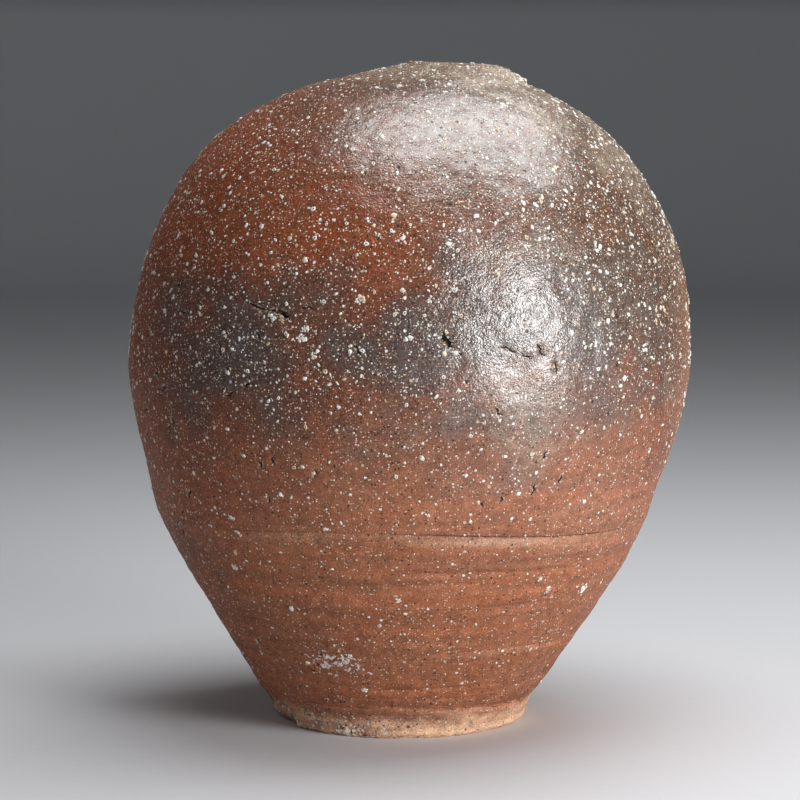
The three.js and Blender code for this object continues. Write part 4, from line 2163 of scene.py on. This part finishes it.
    def _burst(
        self, bm: bmesh.types.BMesh, place: Vector, outward: Vector, radius: float, rng: np.random.Generator
    ) -> None:
        """Adds one burst grain, a ragged low cone with a dark pit in its top.

        Args:
            bm: Where it goes.
            place: Where its middle lies.
            outward: Which way is out of the clay there.
            radius: How large it is.
            rng: Chance.
        """
        heart = bm.verts.layers.float["heart"]
        matrix = self._set_in(place, outward, 1.0, rng)
        sunk = Matrix.Translation((0.0, 0.0, -self.burst_sunk * radius))
        made = bmesh.ops.create_cone(
            bm, cap_ends=True, cap_tris=False, segments=self.burst_sides, radius1=radius,
            radius2=self.burst_top * radius, depth=self.burst_height * radius, matrix=matrix @ sunk,
        )
        cone = made["verts"]
        sides = {face for vert in cone for face in vert.link_faces}
        top = max(sides, key=lambda face: face.calc_center_median().dot(outward))
        for vert in cone:
            vert.co = place + (vert.co - place) * rng.uniform(*self.burst_ragged)
        for thickness, depth in self.burst_insets:
            bmesh.ops.inset_region(bm, faces=[top], thickness=thickness * radius, depth=depth * radius)
        # Marks the pit's floor, which the finish darkens as painted shade.
        for vert in top.verts:
            vert[heart] = 1.0


@dataclass(frozen=True)
class Softbox:
    """One soft lamp that faces a point.

    Attributes:
        name: Its name.
        place: Where it stands.
        aim: The point that it faces.
        size: Its width and height.
        watts: How strong it is.
    """

    name: str
    place: Triple
    aim: Triple
    size: tuple[float, float]
    watts: float

    def build(self) -> None:
        """Makes the lamp."""
        data = bpy.data.lights.new(self.name, "AREA")
        data.shape = "RECTANGLE"
        data.size, data.size_y = self.size
        data.energy = self.watts
        lamp = linked(self.name, data)
        lamp.location = self.place
        lamp.rotation_euler = (Vector(self.aim) - Vector(self.place)).to_track_quat("-Z", "Y").to_euler()


LAMPS = (
    Softbox("right_softbox", (1.04, -1.08, 0.50), (0.03, -0.10, 0.24), (0.62, 0.96), 22.0),
    Softbox("top_softbox", (0.29, 0.10, 1.48), (0.04, -0.06, 0.34), (1.05, 1.35), 19.0),
    Softbox("left_fill", (-1.40, -0.55, 0.95), (-0.05, 0.0, 0.25), (1.20, 1.20), 1.4),
)


@dataclass
class Studio:
    """Plain soft light, a pale floor that curves up all round, and the camera."""

    flat_radii: tuple = (0.0, 0.6, 1.6)
    floor_radius: float = 3.4
    sweep: float = 1.2
    sweep_rows: int = 13
    wall_height: float = 4.5
    floor_steps: int = 96
    sky: tuple = (0.96, 0.98, 1.0, 1.0)
    sky_strength: float = 0.06
    camera_place: tuple = (0.0, -1.900, 0.4073)
    camera_dip: float = 6.396
    lens: float = 140.57
    sensor: float = 36.0
    view_end: float = 60.0

    def build(self) -> None:
        """Makes the stage, the lamps, the world and the camera."""
        self._floor()
        for lamp in LAMPS:
            lamp.build()
        self._world()
        self._camera()

    def _floor(self) -> None:
        """The floor, turned from a bent line."""
        points = [(radius, 0.0) for radius in self.flat_radii]
        for turn in np.linspace(0, math.pi / 2, self.sweep_rows):
            out, up = math.sin(turn), 1 - math.cos(turn)
            points.append((self.floor_radius + self.sweep * out, self.sweep * up))
        points.append((self.floor_radius + self.sweep, self.wall_height))
        bm = bmesh.new()
        verts = [bm.verts.new((0.0, -r, z)) for r, z in points]
        edges = [bm.edges.new(pair) for pair in zip(verts, verts[1:])]
        turned(bm, verts, edges, self.floor_steps)
        bmesh.ops.remove_doubles(bm, verts=bm.verts, dist=MERGE)
        bmesh.ops.recalc_face_normals(bm, faces=bm.faces)
        bmesh.ops.reverse_faces(bm, faces=[f for f in bm.faces if f.normal.z < -0.5])
        for face in bm.faces:
            face.smooth = True
        mesh = bpy.data.meshes.new("studio_floor")
        bm.to_mesh(mesh)
        bm.free()
        mesh.materials.append(FloorFinish().material())
        linked("studio_floor", mesh)

    def _world(self) -> None:
        """An even grey light from all round."""
        world = bpy.data.worlds.new("studio_world")
        world.use_nodes = True
        back = world.node_tree.nodes["Background"]
        back.inputs["Color"].default_value = self.sky
        back.inputs["Strength"].default_value = self.sky_strength
        bpy.context.scene.world = world

    def _camera(self) -> None:
        """The camera, where the photograph was taken from."""
        data = bpy.data.cameras.new("camera")
        data.lens = self.lens
        data.sensor_width = self.sensor
        data.sensor_fit = "HORIZONTAL"
        data.clip_end = self.view_end
        camera = linked("camera", data)
        camera.location = self.camera_place
        camera.rotation_euler = (math.radians(90 - self.camera_dip), 0.0, 0.0)
        bpy.context.scene.camera = camera


def main() -> None:
    """Builds the jar from the slab up, then its grains, then the studio."""
    logging.basicConfig(level=logging.INFO, format="%(name)s: %(message)s")
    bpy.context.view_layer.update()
    bpy.context.scene.view_settings.view_transform = "Standard"
    wall = JarWall(JarShape())
    clay = Clay(wall)
    turning = Turning(wall, clay, ClayFinish().material())
    FootSlab(wall).build(turning)
    feldspar = GrainFinish().material()
    starts = [0.0, *wall.tier_ends[:-1]]
    for tier, start, end in zip(Tier, starts, wall.tier_ends):
        name = tier.name.lower()
        CoilTier(wall, name, float(start), float(end)).build(turning)
        skin = Skin.of_wall(wall, float(start), float(end))
        Grains(wall, clay, f"{name}_grains", f"{name}_clay", skin, *tier.value).build(feldspar)
    neck = NeckStump(wall)
    neck.build(turning)
    skin = Skin.of_profile(neck.profile())
    Grains(wall, clay, "neck_grains", "crown_clay", skin, neck.grains, neck.bursts, neck.seed).build(feldspar)
    Studio().build()


if __name__ == "__main__":
    main()
